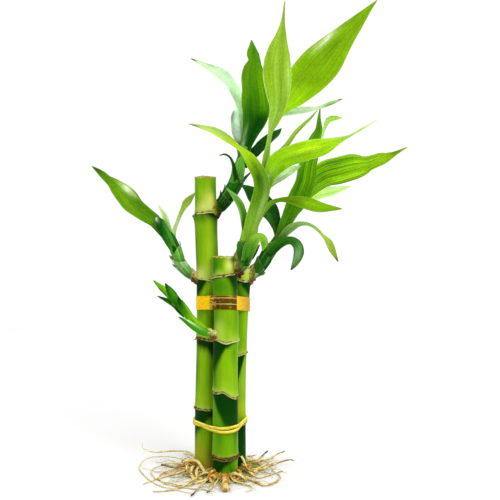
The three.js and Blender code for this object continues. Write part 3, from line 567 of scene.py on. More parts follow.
def fringe_finish():
    finish, tree, shader, place = new_finish("dry_shreds")
    patchy = grain(tree, place, (1, 1, 1), 420, 3)
    colour = mixed(tree, scaled(tree, patchy, 0.35, 0.65, 0, 1), paint(FRINGE_BROWN), paint(FRINGE_TAN))
    tree.links.new(colour, shader.inputs["Base Color"])
    tree.links.new(scaled(tree, patchy, 0, 1, 0.95, 0.7), shader.inputs["Roughness"])
    pressed_in(tree, shader, grain(tree, place, (1, 1, 1), 5000, 2), 0.3, 0.0002)
    return finish


fringe_paths, fringe_ragged, fringe_x, fringe_y = [], [], [], []
for which, cane in CANES.items():
    for number, ring in enumerate(cane.rings):
        angles = np.linspace(0, 2 * math.pi, 140, endpoint=False)
        heights = ring.height + ring_height(ring, angles)
        reach = cane_reach(cane, ring.height) + FRINGE_DEPTH
        x, y = cane_middle(cane, heights)
        ragged = 0.16 + 0.1 * uneven(angles, number)
        for whose, where, azimuth, wide, length in RAGGED:
            if (whose, where) == (which, number):
                turned = np.abs(turned_from(angles, azimuth))
                ragged = np.maximum(ragged, length * soft(-turned, -wide, -wide * 0.4))
        fringe_paths.append(np.stack([x + reach * np.cos(angles), y + reach * np.sin(angles), heights], 1))
        fringe_ragged.append(np.clip(ragged, 0.05, 2))
        fringe_x.append(np.cos(angles) * 1.1)
        fringe_y.append(np.sin(angles) * 1.1)
fringe_host = path_host("scar_rings", fringe_paths,
                        {"ragged": fringe_ragged, "out_x": fringe_x, "out_y": fringe_y}, closed=True)
dry_fringe = shaped("dry_fringe", fringe_host, fringe_tree(),
                    {"Spacing": FRINGE_SPACING * MM, "Length": FRINGE_LENGTH * MM,
                     "Thickness": FRINGE_THICK * MM, "Seed": 11, "Finish": fringe_finish()})
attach(dry_fringe, "root")

# Roots: thick orange ones that break out of each cut foot, and cream threads that have matted round them.
# They are living root tissue, knobbly and matt, some with dried dark tips, and lie loose on the ground.
ROOT_ORANGE = "#cc8a1c"
ROOT_CREAM = "#fff09c"
ROOT_SHADE = "#844404"
ROOT_DARK = "#3a2a10"
ROOT_GREEN = "#b4c03c"
THREADS = 58

# Drawn roots as (points, thickness at the crown, at the tip, share of orange, share of dark tip)
ROOTS = {}
ROOTS["front"] = [
    ([(-0.5, -6, 4), (0, -12, 3.2), (0.4, -20, 2.6), (0.8, -27, 2.5), (1, -31, 2.3)], 1.8, 2.2, 1.35, 0),
    ([
      (6, -4, 3), (11.8, -5.5, 1.5), (17.7, -11, 1.2), (25.3, -20, 1), (32.6, -14.6, 1), (36.3, -3, 0.9),
      (31.4, 9, 0.8)], 1.2, 0.35, 0.6, 0),
    ([(-7, -7, 2.4), (-13.3, -15.6, 1), (-16.3, -26.7, 0.9), (-19.6, -38, 0.8)], 0.7, 0.45, 0.1, 1.2),
    ([(-3, -8, 2.4), (-7, -23.2, 0.9), (-10.2, -32.8, 0.7)], 0.6, 0.4, 0.1, 1.1),
    ([(-5, -6, 4.4), (-9, -11, 3.4), (-14, -13, 1.4), (-22, -19, 1), (-31, -20, 0.8)], 1.1, 0.4, 0.9, 0.2),
    ([(5, -6, 3.4), (8, -10, 4.4), (12, -10, 2.4), (14, -13, 1)], 1.4, 0.8, 0.4, 0),
    ([(3, -8, 3), (7, -14, 1.4), (14, -18, 1), (18, -25, 0.8), (14, -31, 0.6)], 0.7, 0.3, 0.2, 0),
    ([(-8, -4, 3), (-14, -6, 4), (-20, -12, 2), (-30, -27, 0.8), (-44, -31, 0.7)], 0.9, 0.3, 0.7, 0.1),
    ([(-6, -5, 5), (-9, -9, 6), (-10, -12, 3), (-8, -15, 1)], 1.3, 0.9, 1.2, 0),
    ([(7, -3, 4.4), (10, -7, 5.4), (9, -11, 2.4), (6, -14, 1)], 1.1, 0.8, 1.2, 0),
    ([(-5, -7, 3), (-7, -10, 2.4), (-9, -13, 1.2), (-12, -15, 1)], 1.3, 0.9, 1.4, 2.2),
    ([(-2, -8, 3), (-3, -11, 2.2), (-4.5, -14, 1.2)], 1.1, 0.8, 1.4, 2),
    ([(5, -7, 2.6), (6.5, -11, 2), (9, -14, 1.1), (13, -16, 0.9)], 1.1, 0.7, 1.3, 1.6),
]
ROOTS["tall"] = [
    ([
      (-19, 13, 6), (-26.6, 18, 10.8), (-40, 25, 9.4), (-51.5, 32, 6.6), (-61, 39, 7.2),
      (-61.5, 40, 10.7)], 0.7, 0.3, 0.2, 0),
    ([(-20, 12, 4), (-27.5, 12, 3.7), (-35, 12, 2.3), (-44.6, 12, 3.9)], 1.05, 0.6, 0.9, 1),
    ([(-27, 3, 9.2), (-21.8, 2, 9.8), (-17.8, 2, 8.2), (-15.1, 1, 4.1), (-12.2, -2, 1.6)], 0.95, 1.2, 0, 0),
    ([(-20, 7, 5), (-22.5, 2, 4.8), (-22.7, -3, 1.8), (-18.8, -11, 1)], 1.15, 0.9, 0.1, 0),
    ([(-17, 5, 5), (-19, 0, 4.4), (-18.6, -6, 1.8), (-15, -10, 1)], 1.2, 1, 0.2, 0),
    ([(-20, 14, 5), (-26, 10, 8), (-28, 6, 6.4), (-24, 4, 3), (-30, -2, 1)], 1, 0.4, 1, 0),
    ([(-18, 18, 4), (-22, 28, 2.4), (-25, 41, 1.2), (-33, 48, 1)], 0.9, 0.35, 0.5, 0.3),
    ([(-12, 20, 4), (-11, 29, 2.4), (-6, 37, 1.2), (-8, 46, 1)], 0.9, 0.35, 0.5, 0.2),
    ([(-21, 9, 4), (-32, 2, 1.4), (-43, -6, 0.9), (-52, -18, 0.8)], 0.8, 0.3, 0.3, 0),
    ([
      (-20, 15, 4), (-40, 26, 5), (-56, 30, 3), (-60, 16, 1), (-54, -0.4, 0.7), (-47.7, -11.7, 0.6),
      (-40, -21, 0.6), (-32, -26, 0.6), (-24, -31, 0.6), (-18, -34.7, 0.5)], 0.42, 0.24, 0.1, 0),
    ([
      (-20, 12, 3), (-38, 18, 3), (-50, 12, 1), (-48, -2, 0.7), (-40, -12, 0.6), (-30, -18, 0.6),
      (-20, -20, 0.6)], 0.45, 0.26, 0.3, 0),
    ([
      (-21, 9, 3), (-36, 8, 2), (-44, -4, 0.7), (-38, -16, 0.6), (-27, -23, 0.6), (-14, -27, 0.6),
      (-6, -30, 0.6)], 0.48, 0.26, 0.6, 0),
    ([(-19, 6, 5), (-24, 3, 8), (-26, -1, 5), (-21, -5, 2), (-18, -9, 1)], 0.9, 0.5, 1.2, 0),
]
ROOTS["right"] = [
    ([(11, 14, 5), (13.6, 14, 5.8), (20.6, 18, 5.6), (24.8, 24, 6.2), (28.9, 30, 7.9)], 1, 0.5, 0.3, 1.2),
    ([
      (11, 8, 3.4), (16.4, 3.6, 1.6), (24.6, 11, 1.4), (33.8, 18, 2.5), (43.5, 22, 4.3),
      (47, 21, 3.6)], 1.1, 0.4, 0.5, 0.9),
    ([(12, 13, 3), (19.8, 9, 1.4), (28.9, 20, 3.2), (34.9, 30, 5.1), (41.6, 36, 6.2)], 0.9, 0.4, 0.2, 0.7),
    ([(10.4, 6, 11.6), (12.3, 5.6, 8.3), (14.4, 5, 3.5), (17, 3, 1)], 0.75, 1, -0.2, 0),
    ([(13, 8, 2.6), (21, -6, 1.2), (31.2, 2, 0.8), (38.8, 8.5, 0.7)], 0.7, 0.3, 0.3, 0.5),
    ([(9, 20, 4), (15, 28, 2), (14, 38, 1.2), (21, 44, 1)], 0.9, 0.35, 0.5, 0.2),
    ([(12, 17, 4), (22, 22, 3), (30, 34, 1.4), (34, 41, 1)], 1, 0.35, 0.6, 0.3),
    ([(12, 9, 4.4), (16, 5, 5), (15, 1, 3.4), (19, -1, 1.2)], 1.2, 0.9, 1.2, 0),
    ([(11, 7, 6), (14, 1, 5), (19, 0, 3), (22, 4, 1)], 0.9, 0.6, 1, 0.2),
]
THREAD_ROOM = [(-60, -37.5, 0.35), (62, 50, 12)]    # what the threads stay within, from low to high

# Where each foot's threads head, as (azimuth of the middle, half width in degrees, shortest, longest)
THREAD_FANS = {"front": [(210, 55, 18, 44), (265, 60, 8, 26), (320, 45, 12, 32)],
               "tall": [(195, 60, 20, 42), (120, 50, 14, 34)],
               "right": [(-5, 55, 12, 32), (60, 50, 12, 32)]}


def thread(foot, fan, numbers):
    """One loose thread from a foot: it sets out level, wanders and droops to the ground"""
    azimuth, wide, short, long = fan
    heading = math.radians(azimuth + numbers.uniform(-wide, wide))
    length = numbers.uniform(short, long)
    place = np.array(foot[:2]) + numbers.uniform(5, 8) * np.array([math.cos(heading), math.sin(heading)])
    bend, height, humps = numbers.normal(0, 0.13), numbers.uniform(1, 6), numbers.uniform(0.2, 2.2)
    points, steps = [], 15
    for k in range(steps + 1):
        share = k / steps
        droop = height * max(1 - share / 0.5, 0) ** 1.4 + humps * abs(math.sin(share * 7 + height)) * share
        points.append((*place, 0.35 + droop))
        bend += numbers.normal(0, 0.14)
        bend *= 0.84
        heading += bend
        place = place + length / steps * np.array([math.cos(heading), math.sin(heading)])
    return np.clip(points, *THREAD_ROOM)


def root_tree():
    """Round, knobbly roots swept along each line, a little bent, and kept above the ground"""
    tree, given = tree_for("roots", {"Step": 0.0008, "Wander": 0.0004, "Knobs": 0.25, "Sides": 7,
                                     "Finish": None})
    lines = put(tree, "GeometryNodeMeshToCurve", {"Mesh": given["Geometry"]}).outputs[0]
    bent = put(tree, "GeometryNodeCurveSplineType", {"Curve": lines}, spline_type="CATMULL_ROM").outputs[0]
    even = put(tree, "GeometryNodeResampleCurve", {"Curve": bent, "Length": given["Step"]}, mode="LENGTH")
    drift = put(tree, "ShaderNodeTexNoise", {"Scale": 240.0, "Detail": 2.0})
    centred = put(tree, "ShaderNodeVectorMath", {0: drift.outputs["Color"], 1: (0.5, 0.5, 0.5)},
                  operation="SUBTRACT")
    swing = times(tree, centred.outputs[0], maths(tree, "MULTIPLY", given["Wander"], 2))
    moved = put(tree, "GeometryNodeSetPosition", {"Geometry": even.outputs[0], "Offset": swing})
    lumps = put(tree, "ShaderNodeTexNoise", {"Scale": 620.0, "Detail": 1.0}).outputs[0]
    low = maths(tree, "SUBTRACT", 1.0, given["Knobs"])
    high = maths(tree, "ADD", 1.0, given["Knobs"])
    size = maths(tree, "MULTIPLY", stored(tree, "thick"), scaled(tree, lumps, 0.3, 0.7, low, high))
    round_shape = put(tree, "GeometryNodeCurvePrimitiveCircle", {"Resolution": given["Sides"], "Radius": 1.0})
    swept = put(tree, "GeometryNodeCurveToMesh",
                {"Curve": moved.outputs[0], "Profile Curve": round_shape.outputs[0], "Scale": size,
                 "Fill Caps": True})
    spot = put(tree, "ShaderNodeSeparateXYZ", {0: put(tree, "GeometryNodeInputPosition").outputs[0]}).outputs
    kept_up = maths(tree, "MAXIMUM", spot[2], 0.00002)
    grounded = put(tree, "ShaderNodeCombineXYZ", {0: spot[0], 1: spot[1], 2: kept_up})
    # How far each face looks down is stored as under, for a painted shade on the roots' undersides
    facing = put(tree, "ShaderNodeSeparateXYZ", {0: put(tree, "GeometryNodeInputNormal").outputs[0]})
    under = scaled(tree, facing.outputs[2], 0.3, -0.6, 0, 1)
    shaded = put(tree, "GeometryNodeStoreNamedAttribute",
                 {"Geometry": swept.outputs[0], "Name": "under", "Value": under})
    laid = put(tree, "GeometryNodeSetPosition",
               {"Geometry": shaded.outputs[0], "Position": grounded.outputs[0]})
    closing(tree, laid.outputs[0], given)
    return tree


def root_finish():
    finish, tree, shader, place = new_finish("root_skin")
    orange, dark, green, under = [put(tree, "ShaderNodeAttribute", attribute_name=label).outputs["Fac"]
                                  for label in ("orange", "dark", "green", "under")]
    patchy = grain(tree, place, (1, 1, 1), 260, 4)
    fine = grain(tree, place, (1, 1, 1), 1800, 3)
    orange = maths(tree, "ADD", orange, scaled(tree, patchy, 0.38, 0.6, -0.85, 0.4))
    colour = mixed(tree, orange, paint(ROOT_CREAM) * 1.25, paint(ROOT_ORANGE) * 1.15)
    colour = mixed(tree, maths(tree, "MULTIPLY", green, 0.8), colour, paint(ROOT_GREEN))
    # Painted shade: the undersides go towards ROOT_SHADE
    colour = mixed(tree, maths(tree, "MULTIPLY", under, 0.85), colour, paint(ROOT_SHADE))
    colour = mixed(tree, maths(tree, "MULTIPLY", dark, 0.9), colour, paint(ROOT_DARK))
    # Fine noise darkens small spots: the skin's own grain, and a painted shade in its crevices
    crevice_shade = scaled(tree, fine, 0.3, 0.55, 0.5, 1.12)
    tree.links.new(times(tree, colour, crevice_shade), shader.inputs["Base Color"])
    tree.links.new(scaled(tree, fine, 0.3, 0.7, 0.75, 0.5), shader.inputs["Roughness"])
    pressed_in(tree, shader, fine, 0.4)
    shader.inputs["Specular IOR Level"].default_value = 0.05
    return finish


def root_crown(name, cane, seed):
    """The swollen, knobbly ring of tissue round a cut foot that its roots break out of"""
    angles = np.linspace(0, 2 * math.pi, 90, endpoint=False)
    loop = np.linspace(0, 2 * math.pi, 22, endpoint=False)
    around, turn = np.meshgrid(angles, loop, indexing="ij")
    knobs = uneven(around, seed, 16)
    swell = 1 + 0.28 * knobs + 0.2 * np.sin(turn * 3 + knobs * 2)
    reach = cane.radius - 0.2 + 1.45 * swell * np.cos(turn)
    height = 2.35 + 2.0 * (1 + 0.2 * knobs) * np.sin(turn)
    foot = cane.axis[0]
    grid = np.stack([foot[0] + reach * np.cos(around), foot[1] + reach * np.sin(around),
                     np.clip(height, 0.05, None)], -1)
    across, along = np.linspace(0, 1, 23), np.linspace(0, 1, 91)
    piece = skinned(name, grid, np.ones((*around.shape, 4)), across, along, joined=True)
    # Painted shade: the crown darkens towards the ground it sits on, and is shaded in the dips between its
    # knobs
    shares = {"orange": np.clip(0.9 + 0.4 * knobs, 0, 1.3), "dark": soft(-height, -2.4, -0.2) * 0.9,
              "green": soft(height, 3.4, 4.6) * 0.5, "under": soft(-knobs, -0.6, 0.8)}
    for label, values in shares.items():
        layer = piece.data.attributes.new(label, "FLOAT", "POINT")
        layer.data.foreach_set("value", values.ravel().astype(np.float32))
    return piece


root_skin = root_finish()
roots_shape = root_tree()
for number, (which, drawn) in enumerate(ROOTS.items()):
    numbers = np.random.default_rng(60 + number)
    cane = CANES[which]
    paths, thick, orange, dark, green = [], [], [], [], []
    for line, start, end, share, tip in drawn:
        run = np.linspace(0, 1, len(line))
        paths.append(np.array(line, float))
        thick.append((start + (end - start) * run ** 0.8) * MM)
        orange.append(share * (1 - 0.5 * run))
        dark.append(tip * soft(run, 0.45, 1.0))
        green.append(np.zeros(len(line)))
    fans = THREAD_FANS[which]
    for k in range(THREADS):
        line = thread(cane.axis[0], fans[k % len(fans)], numbers)
        run = np.linspace(0, 1, len(line))
        gauge = numbers.uniform(0.14, 0.32)
        paths.append(line)
        thick.append(gauge * (1 - 0.5 * run) * MM)
        orange.append(np.full(len(line), numbers.uniform(-0.5, 0.5)))
        dark.append(soft(run, 0.5, 1.2) * (numbers.uniform() < 0.25))
        green.append(np.full(len(line), float(numbers.uniform() < 0.45)))
    host = path_host(f"roots_{which}_lines", paths, {"thick": thick, "orange": orange, "dark": dark,
                                                     "green": green})
    mat = shaped(f"roots_{which}_mat", host, roots_shape,
                 {"Step": 0.8 * MM, "Wander": 0.5 * MM, "Knobs": 0.22, "Sides": 7, "Finish": root_skin})
    crown = root_crown(f"root_crown_{which}", cane, 30 + number)
    crown.data.materials.append(root_skin)
    for piece in (mat, crown):
        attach(piece, "root")
    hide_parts(f"roots_{which}")

# Shoots: young side stems, each pushed out through a scar and wrapped in the clasping bases of its leaves.
# They are soft green tissue; where each one leaves its cane a corky, cream collar has healed round it.
SHEATH_THICK = 0.28
HEALED_GREEN = "#b4d430"
CORK_BROWN = "#7a5420"
SCUFF_PALE = "#dcecc8"
BLOOM = "#d8e6c2"

# A shoot's line is (x, y, z, radius), and its paints are the stem's low, middle and top. Its collar is
# (colour above, colour below, how far it stands off the cane, swell, share of the stem it may cover), and
# slim is how much the stem thins where its leaves spread. Its sheaths are (start share, end share, azimuth of
# the point, slant, stand-off of the point, paint, paint of the lip), each with that many pale scuffs.
Shoot = namedtuple("Shoot", "cane slim scuffs paints collar line sheaths")
SHOOTS = {}
SHOOTS["tall_top"] = Shoot(
    cane="tall", slim=0.1, scuffs=9, paints=("#0f4a04", "#1c6a08", "#7cc04c"),
    collar=("#8a6424", "#33200a", 2.2, 0.8, 0.26),
    line=[
        (-9, 9, 175, 3.4), (-3, 11.5, 182, 4.4), (2, 13, 189, 4.8), (6, 15, 196.5, 4.8), (8.5, 16, 205, 4.3),
        (10, 17, 213.5, 3.6), (13.5, 17, 222.5, 2.1)],
    sheaths=[
        (0.12, 0.3, 175, 3, 1.6, "#0f4a06", "#7fb060"), (0.2, 0.42, 200, 5, 1.5, "#155808", "#b4d898"),
        (0.3, 0.54, 20, 5, 0.7, "#1c6a0a", "#98c878"), (0.42, 0.68, 170, 7, 1, "#4c9822", "#c2e0a4"),
        (0.54, 0.88, 60, 9, 0.3, "#6cb83c", "#b0e08c")])
SHOOTS["front_top"] = Shoot(
    cane="front", slim=0.5, scuffs=0, paints=("#4f9410", "#90c42a", "#8cc832"),
    collar=("#f0dc8c", "#4a2a0c", 4.2, 1.4, 0.24),
    line=[
        (6, 1, 135.5, 3.6), (11.4, -2, 143.2, 5.2), (13.5, -3, 152.5, 5.3), (16.5, -4, 163, 5.3),
        (19.5, -4.5, 176, 5.3), (23.5, -4.5, 188.5, 4.8), (26.5, -3, 199, 2.7)],
    sheaths=[
        (0.08, 0.215, 300, 3, 0.8, "#5c9c14", "#dcecb0"), (0.14, 0.4, 300, 6, 1.2, "#4a8c10", "#b4dc80"),
        (0.26, 0.5, 190, 8, 0.9, "#84bc2c", "#c8e890")])
SHOOTS["right_top"] = Shoot(
    cane="right", slim=0.15, scuffs=7, paints=("#124a04", "#2c7410", "#6cb030"),
    collar=("#d4d068", "#6a4018", 2.6, 1, 0.28),
    line=[
        (13, 12.6, 128.5, 2.7), (18, 13, 134.5, 3.8), (23.5, 13, 140, 4.4), (28, 13, 147, 4.5),
        (32, 12.5, 153, 4.4), (36.5, 12.5, 160.5, 3.8), (40, 13, 168, 2.3)],
    sheaths=[
        (0.1, 0.27, 330, 4, 1.9, "#7cb44c", "#eef4d8"), (0.16, 0.4, 150, 5, 1, "#2c7012", "#a4cc84"),
        (0.28, 0.6, 130, 8, 1.2, "#1c640c", "#8cc060"), (0.42, 0.84, 20, 9, 0.3, "#5aa41c", "#b0dc7c")])
SHOOTS["tall_low"] = Shoot(
    cane="tall", slim=0.15, scuffs=8, paints=("#68a834", "#5aa024", "#1c6a08"),
    collar=("#f2e89c", "#6a4210", 4, 1, 0.34),
    line=[
        (-18.5, 11.5, 130.5, 2.7), (-24.5, 10.5, 134.5, 3.4), (-30.5, 9.5, 141.5, 3.8),
        (-34, 8.5, 150.5, 3.9), (-37, 7.8, 158, 3.6), (-40.5, 7.2, 164, 2.6), (-43, 7, 168.5, 1.6)],
    sheaths=[
        (0.14, 0.38, 190, 5, 1.5, "#6cac4c", "#e4f2d4"), (0.24, 0.5, 200, 6, 1.6, "#90c670", "#f0f8e4"),
        (0.38, 0.64, 10, 6, 1.2, "#64ac38", "#c8e4a4"), (0.5, 0.92, 100, 7, 0.4, "#146008", "#5aa030")])
SHOOTS["front_low"] = Shoot(
    cane="front", slim=0.1, scuffs=0, paints=("#e4e470", "#a4d824", "#4ca00c"),
    collar=("#fbf8b0", "#8a5a28", 4.2, 0.55, 0.36),
    line=[
        (-6, -3.5, 94.2, 2.3), (-13, -6, 97.9, 2.7), (-18.2, -9, 102.2, 2.7), (-23.1, -11, 107.7, 2.4),
        (-27, -12, 113.6, 1.5)],
    sheaths=[
        (0.26, 0.62, 100, 5, 0.12, "#8ccc18", "#a4dc30"), (0.34, 0.86, 60, 6, 0.12, "#5cb40c", "#84cc28")])


def round_frames(line, shares):
    """Places along a line, its direction, the directions to its side and its front, its sizes, its length"""
    place, ahead, size, length = follow(line, shares)
    side = np.cross(ahead, (0, -1, 0))
    side /= np.linalg.norm(side, axis=-1, keepdims=True)
    return place, ahead, side, np.cross(side, ahead), size, length


def lined(colours, share):
    """The colour at a share of the way through a row of web colours"""
    shades = np.array([paint(code) for code in colours])
    places = np.linspace(0, 1, len(colours))
    return np.stack([np.interp(share, places, shades[:, k]) for k in range(3)], -1)


def off_cane(cane, place):
    """How far places stand off the bare skin of a cane"""
    x, y = cane_middle(cane, place[..., 2])
    return np.hypot(place[..., 0] - x, place[..., 1] - y) - cane_reach(cane, place[..., 2])


def slimmed(share, shoot):
    """A stem's girth as a share of its line's: it thins where its leaves spread"""
    return 0.93 - shoot.slim * soft(share, 0.45, 0.85)


def shoot_stem(name, shoot, seed):
    """The bare stem with the corky collar that has healed round it where it leaves the cane"""
    shares, angles = np.linspace(0, 1, 90), np.linspace(0, 2 * math.pi, 44, endpoint=False)
    share, angle = np.meshgrid(shares, angles, indexing="ij")
    place, _, side, face, size, length = round_frames(shoot.line, share)
    wander = uneven(angle, seed, 7)
    pale, brown, depth, swell, reach = shoot.collar
    outward = side * np.cos(angle)[..., None] + face * np.sin(angle)[..., None]
    clear = off_cane(CANES[shoot.cane], place + size[..., None] * 0.93 * outward)
    collar = soft(-clear + 0.5 * wander, -depth - 0.5, -depth + 0.7)
    collar *= soft(-share, -reach - 0.05, -reach + 0.02)
    lumps = uneven(angle, seed + 5, 12) * np.cos(share * length / 0.9 + wander * 3)
    radius = size * slimmed(share, shoot) + swell * collar * (0.7 + 0.65 * lumps)
    radius += 0.05 * wander + 0.04 * np.sin(share * 60 + wander) + 0.8 * np.exp(-(clear / 0.9) ** 2)
    grid = place + radius[..., None] * outward
    tint = lined(shoot.paints, share) * (1 + 0.10 * uneven(angle, seed + 9, 16))[..., None]
    # Painted shade: the stem is darker on the side that looks down
    tint = tint * (1 - 0.4 * soft(-outward[..., 2], 0, 0.9))[..., None]
    tint = blended(tint, paint(pale), collar)
    below = soft(-outward[..., 2] + 0.3 * lumps, -0.5, 0.35)
    tint = blended(tint, paint(brown), collar * below)
    healed = soft(-clear, -1.5, -0.3) * soft(outward[..., 2], -0.4, 0.3) * 0.75
    tint = blended(tint, paint(HEALED_GREEN), healed)
    spots = soft(uneven(angle + share * 31, seed + 2, 30), 0.2, 0.8) * collar
    tint = blended(tint, paint(CORK_BROWN), spots * 0.5)
    around = np.linspace(0, 1, len(angles) + 1)
    return skinned(name, grid, np.concatenate([tint, collar[..., None]], -1), around, shares * length / 40)


def shoot_sheath(name, shoot, sheath, seed):
    """One thin clasping leaf base: a sleeve with a slanted mouth drawn out to a point"""
    start, end, pointed, slant, stand, colour, lip = sheath
    line = shoot.line
    angles = np.linspace(0, 2 * math.pi, 52, endpoint=False)
    length = follow(line, [0])[3]
    off = np.angle(np.exp(1j * (angles - math.radians(pointed))))
    turned = (1 - np.cos(off)) / 2
    ends = end - slant / length * turned ** 0.7 + 0.25 / length * uneven(angles, seed, 20)
    ends += 1.8 / length * np.exp(-(off / 0.3) ** 2)
    outer, inner = np.linspace(0, 1, 24), np.array([1.0, 0.94, 0.82, 0.64, 0.4, 0.1])
    travel = np.concatenate([outer, inner])[:, None] * np.ones(len(angles))
    share = np.clip(start + (ends - start) * travel, 0, 1)
    angle = np.ones_like(travel) * angles
    place, _, side, face, size, _ = round_frames(line, share)
    outward = side * np.cos(angle)[..., None] + face * np.sin(angle)[..., None]
    rise = (0.15 + stand * np.exp(-(off / 0.9) ** 2)) * travel ** 3 + 0.32 * soft(travel, 0, 0.25)
    radius = size * (slimmed(share, shoot) + 0.02) + rise + 0.04 * np.cos(angle * 11)
    deeper = np.linspace(0, 1, len(inner))[:, None]
    radius[len(outer):] -= SHEATH_THICK * (0.5 + 0.5 * deeper) + 0.3 * deeper
    grid = place + radius[..., None] * outward
    streak = uneven(angle, seed + 3, 24)
    tint = np.ones((*share.shape, 3)) * paint(colour)
    # The streaks are the sheath's own; the darker low part where it wraps the stem, the darker underside and
    # the lighter top are painted shade and painted light
    tint = tint * (1 + 0.2 * streak)[..., None] * (0.75 + 0.35 * soft(travel, 0.1, 0.6))[..., None]
    tint = tint * (1.08 - 0.5 * soft(-outward[..., 2], -0.3, 0.9))[..., None]
    flaky = soft(uneven(angle, seed + 6, 9), -0.5, 0.6)
    tint = blended(tint, paint(lip), soft(travel, 0.9, 0.985) * 0.65 * flaky)
    tint = blended(tint, paint(lip), soft(streak, 0.5, 1.3) * 0.5 * travel)
    numbers = np.random.default_rng(seed + 12)
    for _ in range(shoot.scuffs):
        spot, height, slope = numbers.uniform(3.3, 6.1), numbers.uniform(0.1, 1), numbers.uniform(-0.6, 0.6)
        long, wide = numbers.uniform(1.2, 3.2), numbers.uniform(0.25, 0.45)
        round_way, along_way = (angle - spot) * size, (travel - height) * (end - start) * length
        line_off = along_way * math.cos(slope) - round_way * math.sin(slope)
        line_on = along_way * math.sin(slope) + round_way * math.cos(slope)
        tint = blended(tint, paint(SCUFF_PALE), 0.7 * np.exp(-(line_off / wide) ** 2 - (line_on / long) ** 4))
    dry = soft(travel, 0.96, 1.0) * 0.2
    around = np.linspace(0, 1, len(angles) + 1)
    along = np.append(travel[:, 0] * 0.3, 0)
    return skinned(name, grid, np.concatenate([tint, dry[..., None]], -1), around, along, joined=True)


def joined_as(name, pieces):
    """Several loose pieces as one object"""
    for piece in bpy.context.selected_objects:
        piece.select_set(False)
    for piece in pieces:
        piece.select_set(True)
    bpy.context.view_layer.objects.active = pieces[0]
    bpy.ops.object.join()
    pieces[0].name = name
    pieces[0].data.name = name
    return pieces[0]


def shoot_finish():
    finish, tree, shader, place = new_finish("shoot_sheath")
    own = put(tree, "ShaderNodeAttribute", attribute_name="tint")
    unfolded = put(tree, "ShaderNodeUVMap", uv_map="grown").outputs[0]
    streaks = grain(tree, unfolded, (16, 2, 1), 1.0, 3)
    lines = grain(tree, unfolded, (44, 4, 1), 1.0, 2)
    powder = grain(tree, place, (1, 1, 1), 900, 4)
    shade = maths(tree, "MULTIPLY", scaled(tree, streaks, 0.3, 0.7, 0.72, 1.25),
                  scaled(tree, lines, 0.3, 0.7, 0.92, 1.06))
    living = times(tree, own.outputs["Color"], shade)
    bloom = maths(tree, "MULTIPLY", scaled(tree, powder, 0.58, 0.74, 0, 1),
                  scaled(tree, streaks, 0.5, 0.7, 0, 0.4))
    dusted = mixed(tree, bloom, living, paint(BLOOM))
    corky = times(tree, own.outputs["Color"], scaled(tree, powder, 0.35, 0.65, 0.5, 1.25))
    tree.links.new(mixed(tree, own.outputs["Alpha"], dusted, corky), shader.inputs["Base Color"])
    tree.links.new(scaled(tree, powder, 0.3, 0.7, 0.36, 0.55), shader.inputs["Roughness"])
    relief = maths(tree, "ADD", streaks, maths(tree, "MULTIPLY", powder, own.outputs["Alpha"]))
    pressed_in(tree, shader, relief, 0.3)
    shader.inputs["Specular IOR Level"].default_value = 0.035
    return finish


green_stem = shoot_finish()
for number, (which, shoot) in enumerate(SHOOTS.items()):
    layers = [shoot_stem(f"shoot_{which}_skin", shoot, 20 + number)]
    for k, sheath in enumerate(shoot.sheaths):
        layers.append(shoot_sheath(f"sheath_{k}", shoot, sheath, 40 + 7 * number + k))
    clad = joined_as(f"shoot_{which}_skin", layers)
    clad.data.materials.clear()
    clad.data.materials.append(green_stem)
    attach(clad, "root")
    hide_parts(f"shoot_{which}")

# Leaves: thin lance-shaped blades, folded round the shoot at the base and opening flat towards a fine tip.
# They are living tissue a third of a millimetre thick, with a sunk midrib and fine parallel veins; young ones
# let light through and look almost white. Each has grown from its shoot and clasps it by its own base.
LEAF_THICK = 0.36
BASE_FOLD = 0.75
WAVES = 3
LEAF_BLOOM = "#dcebc6"
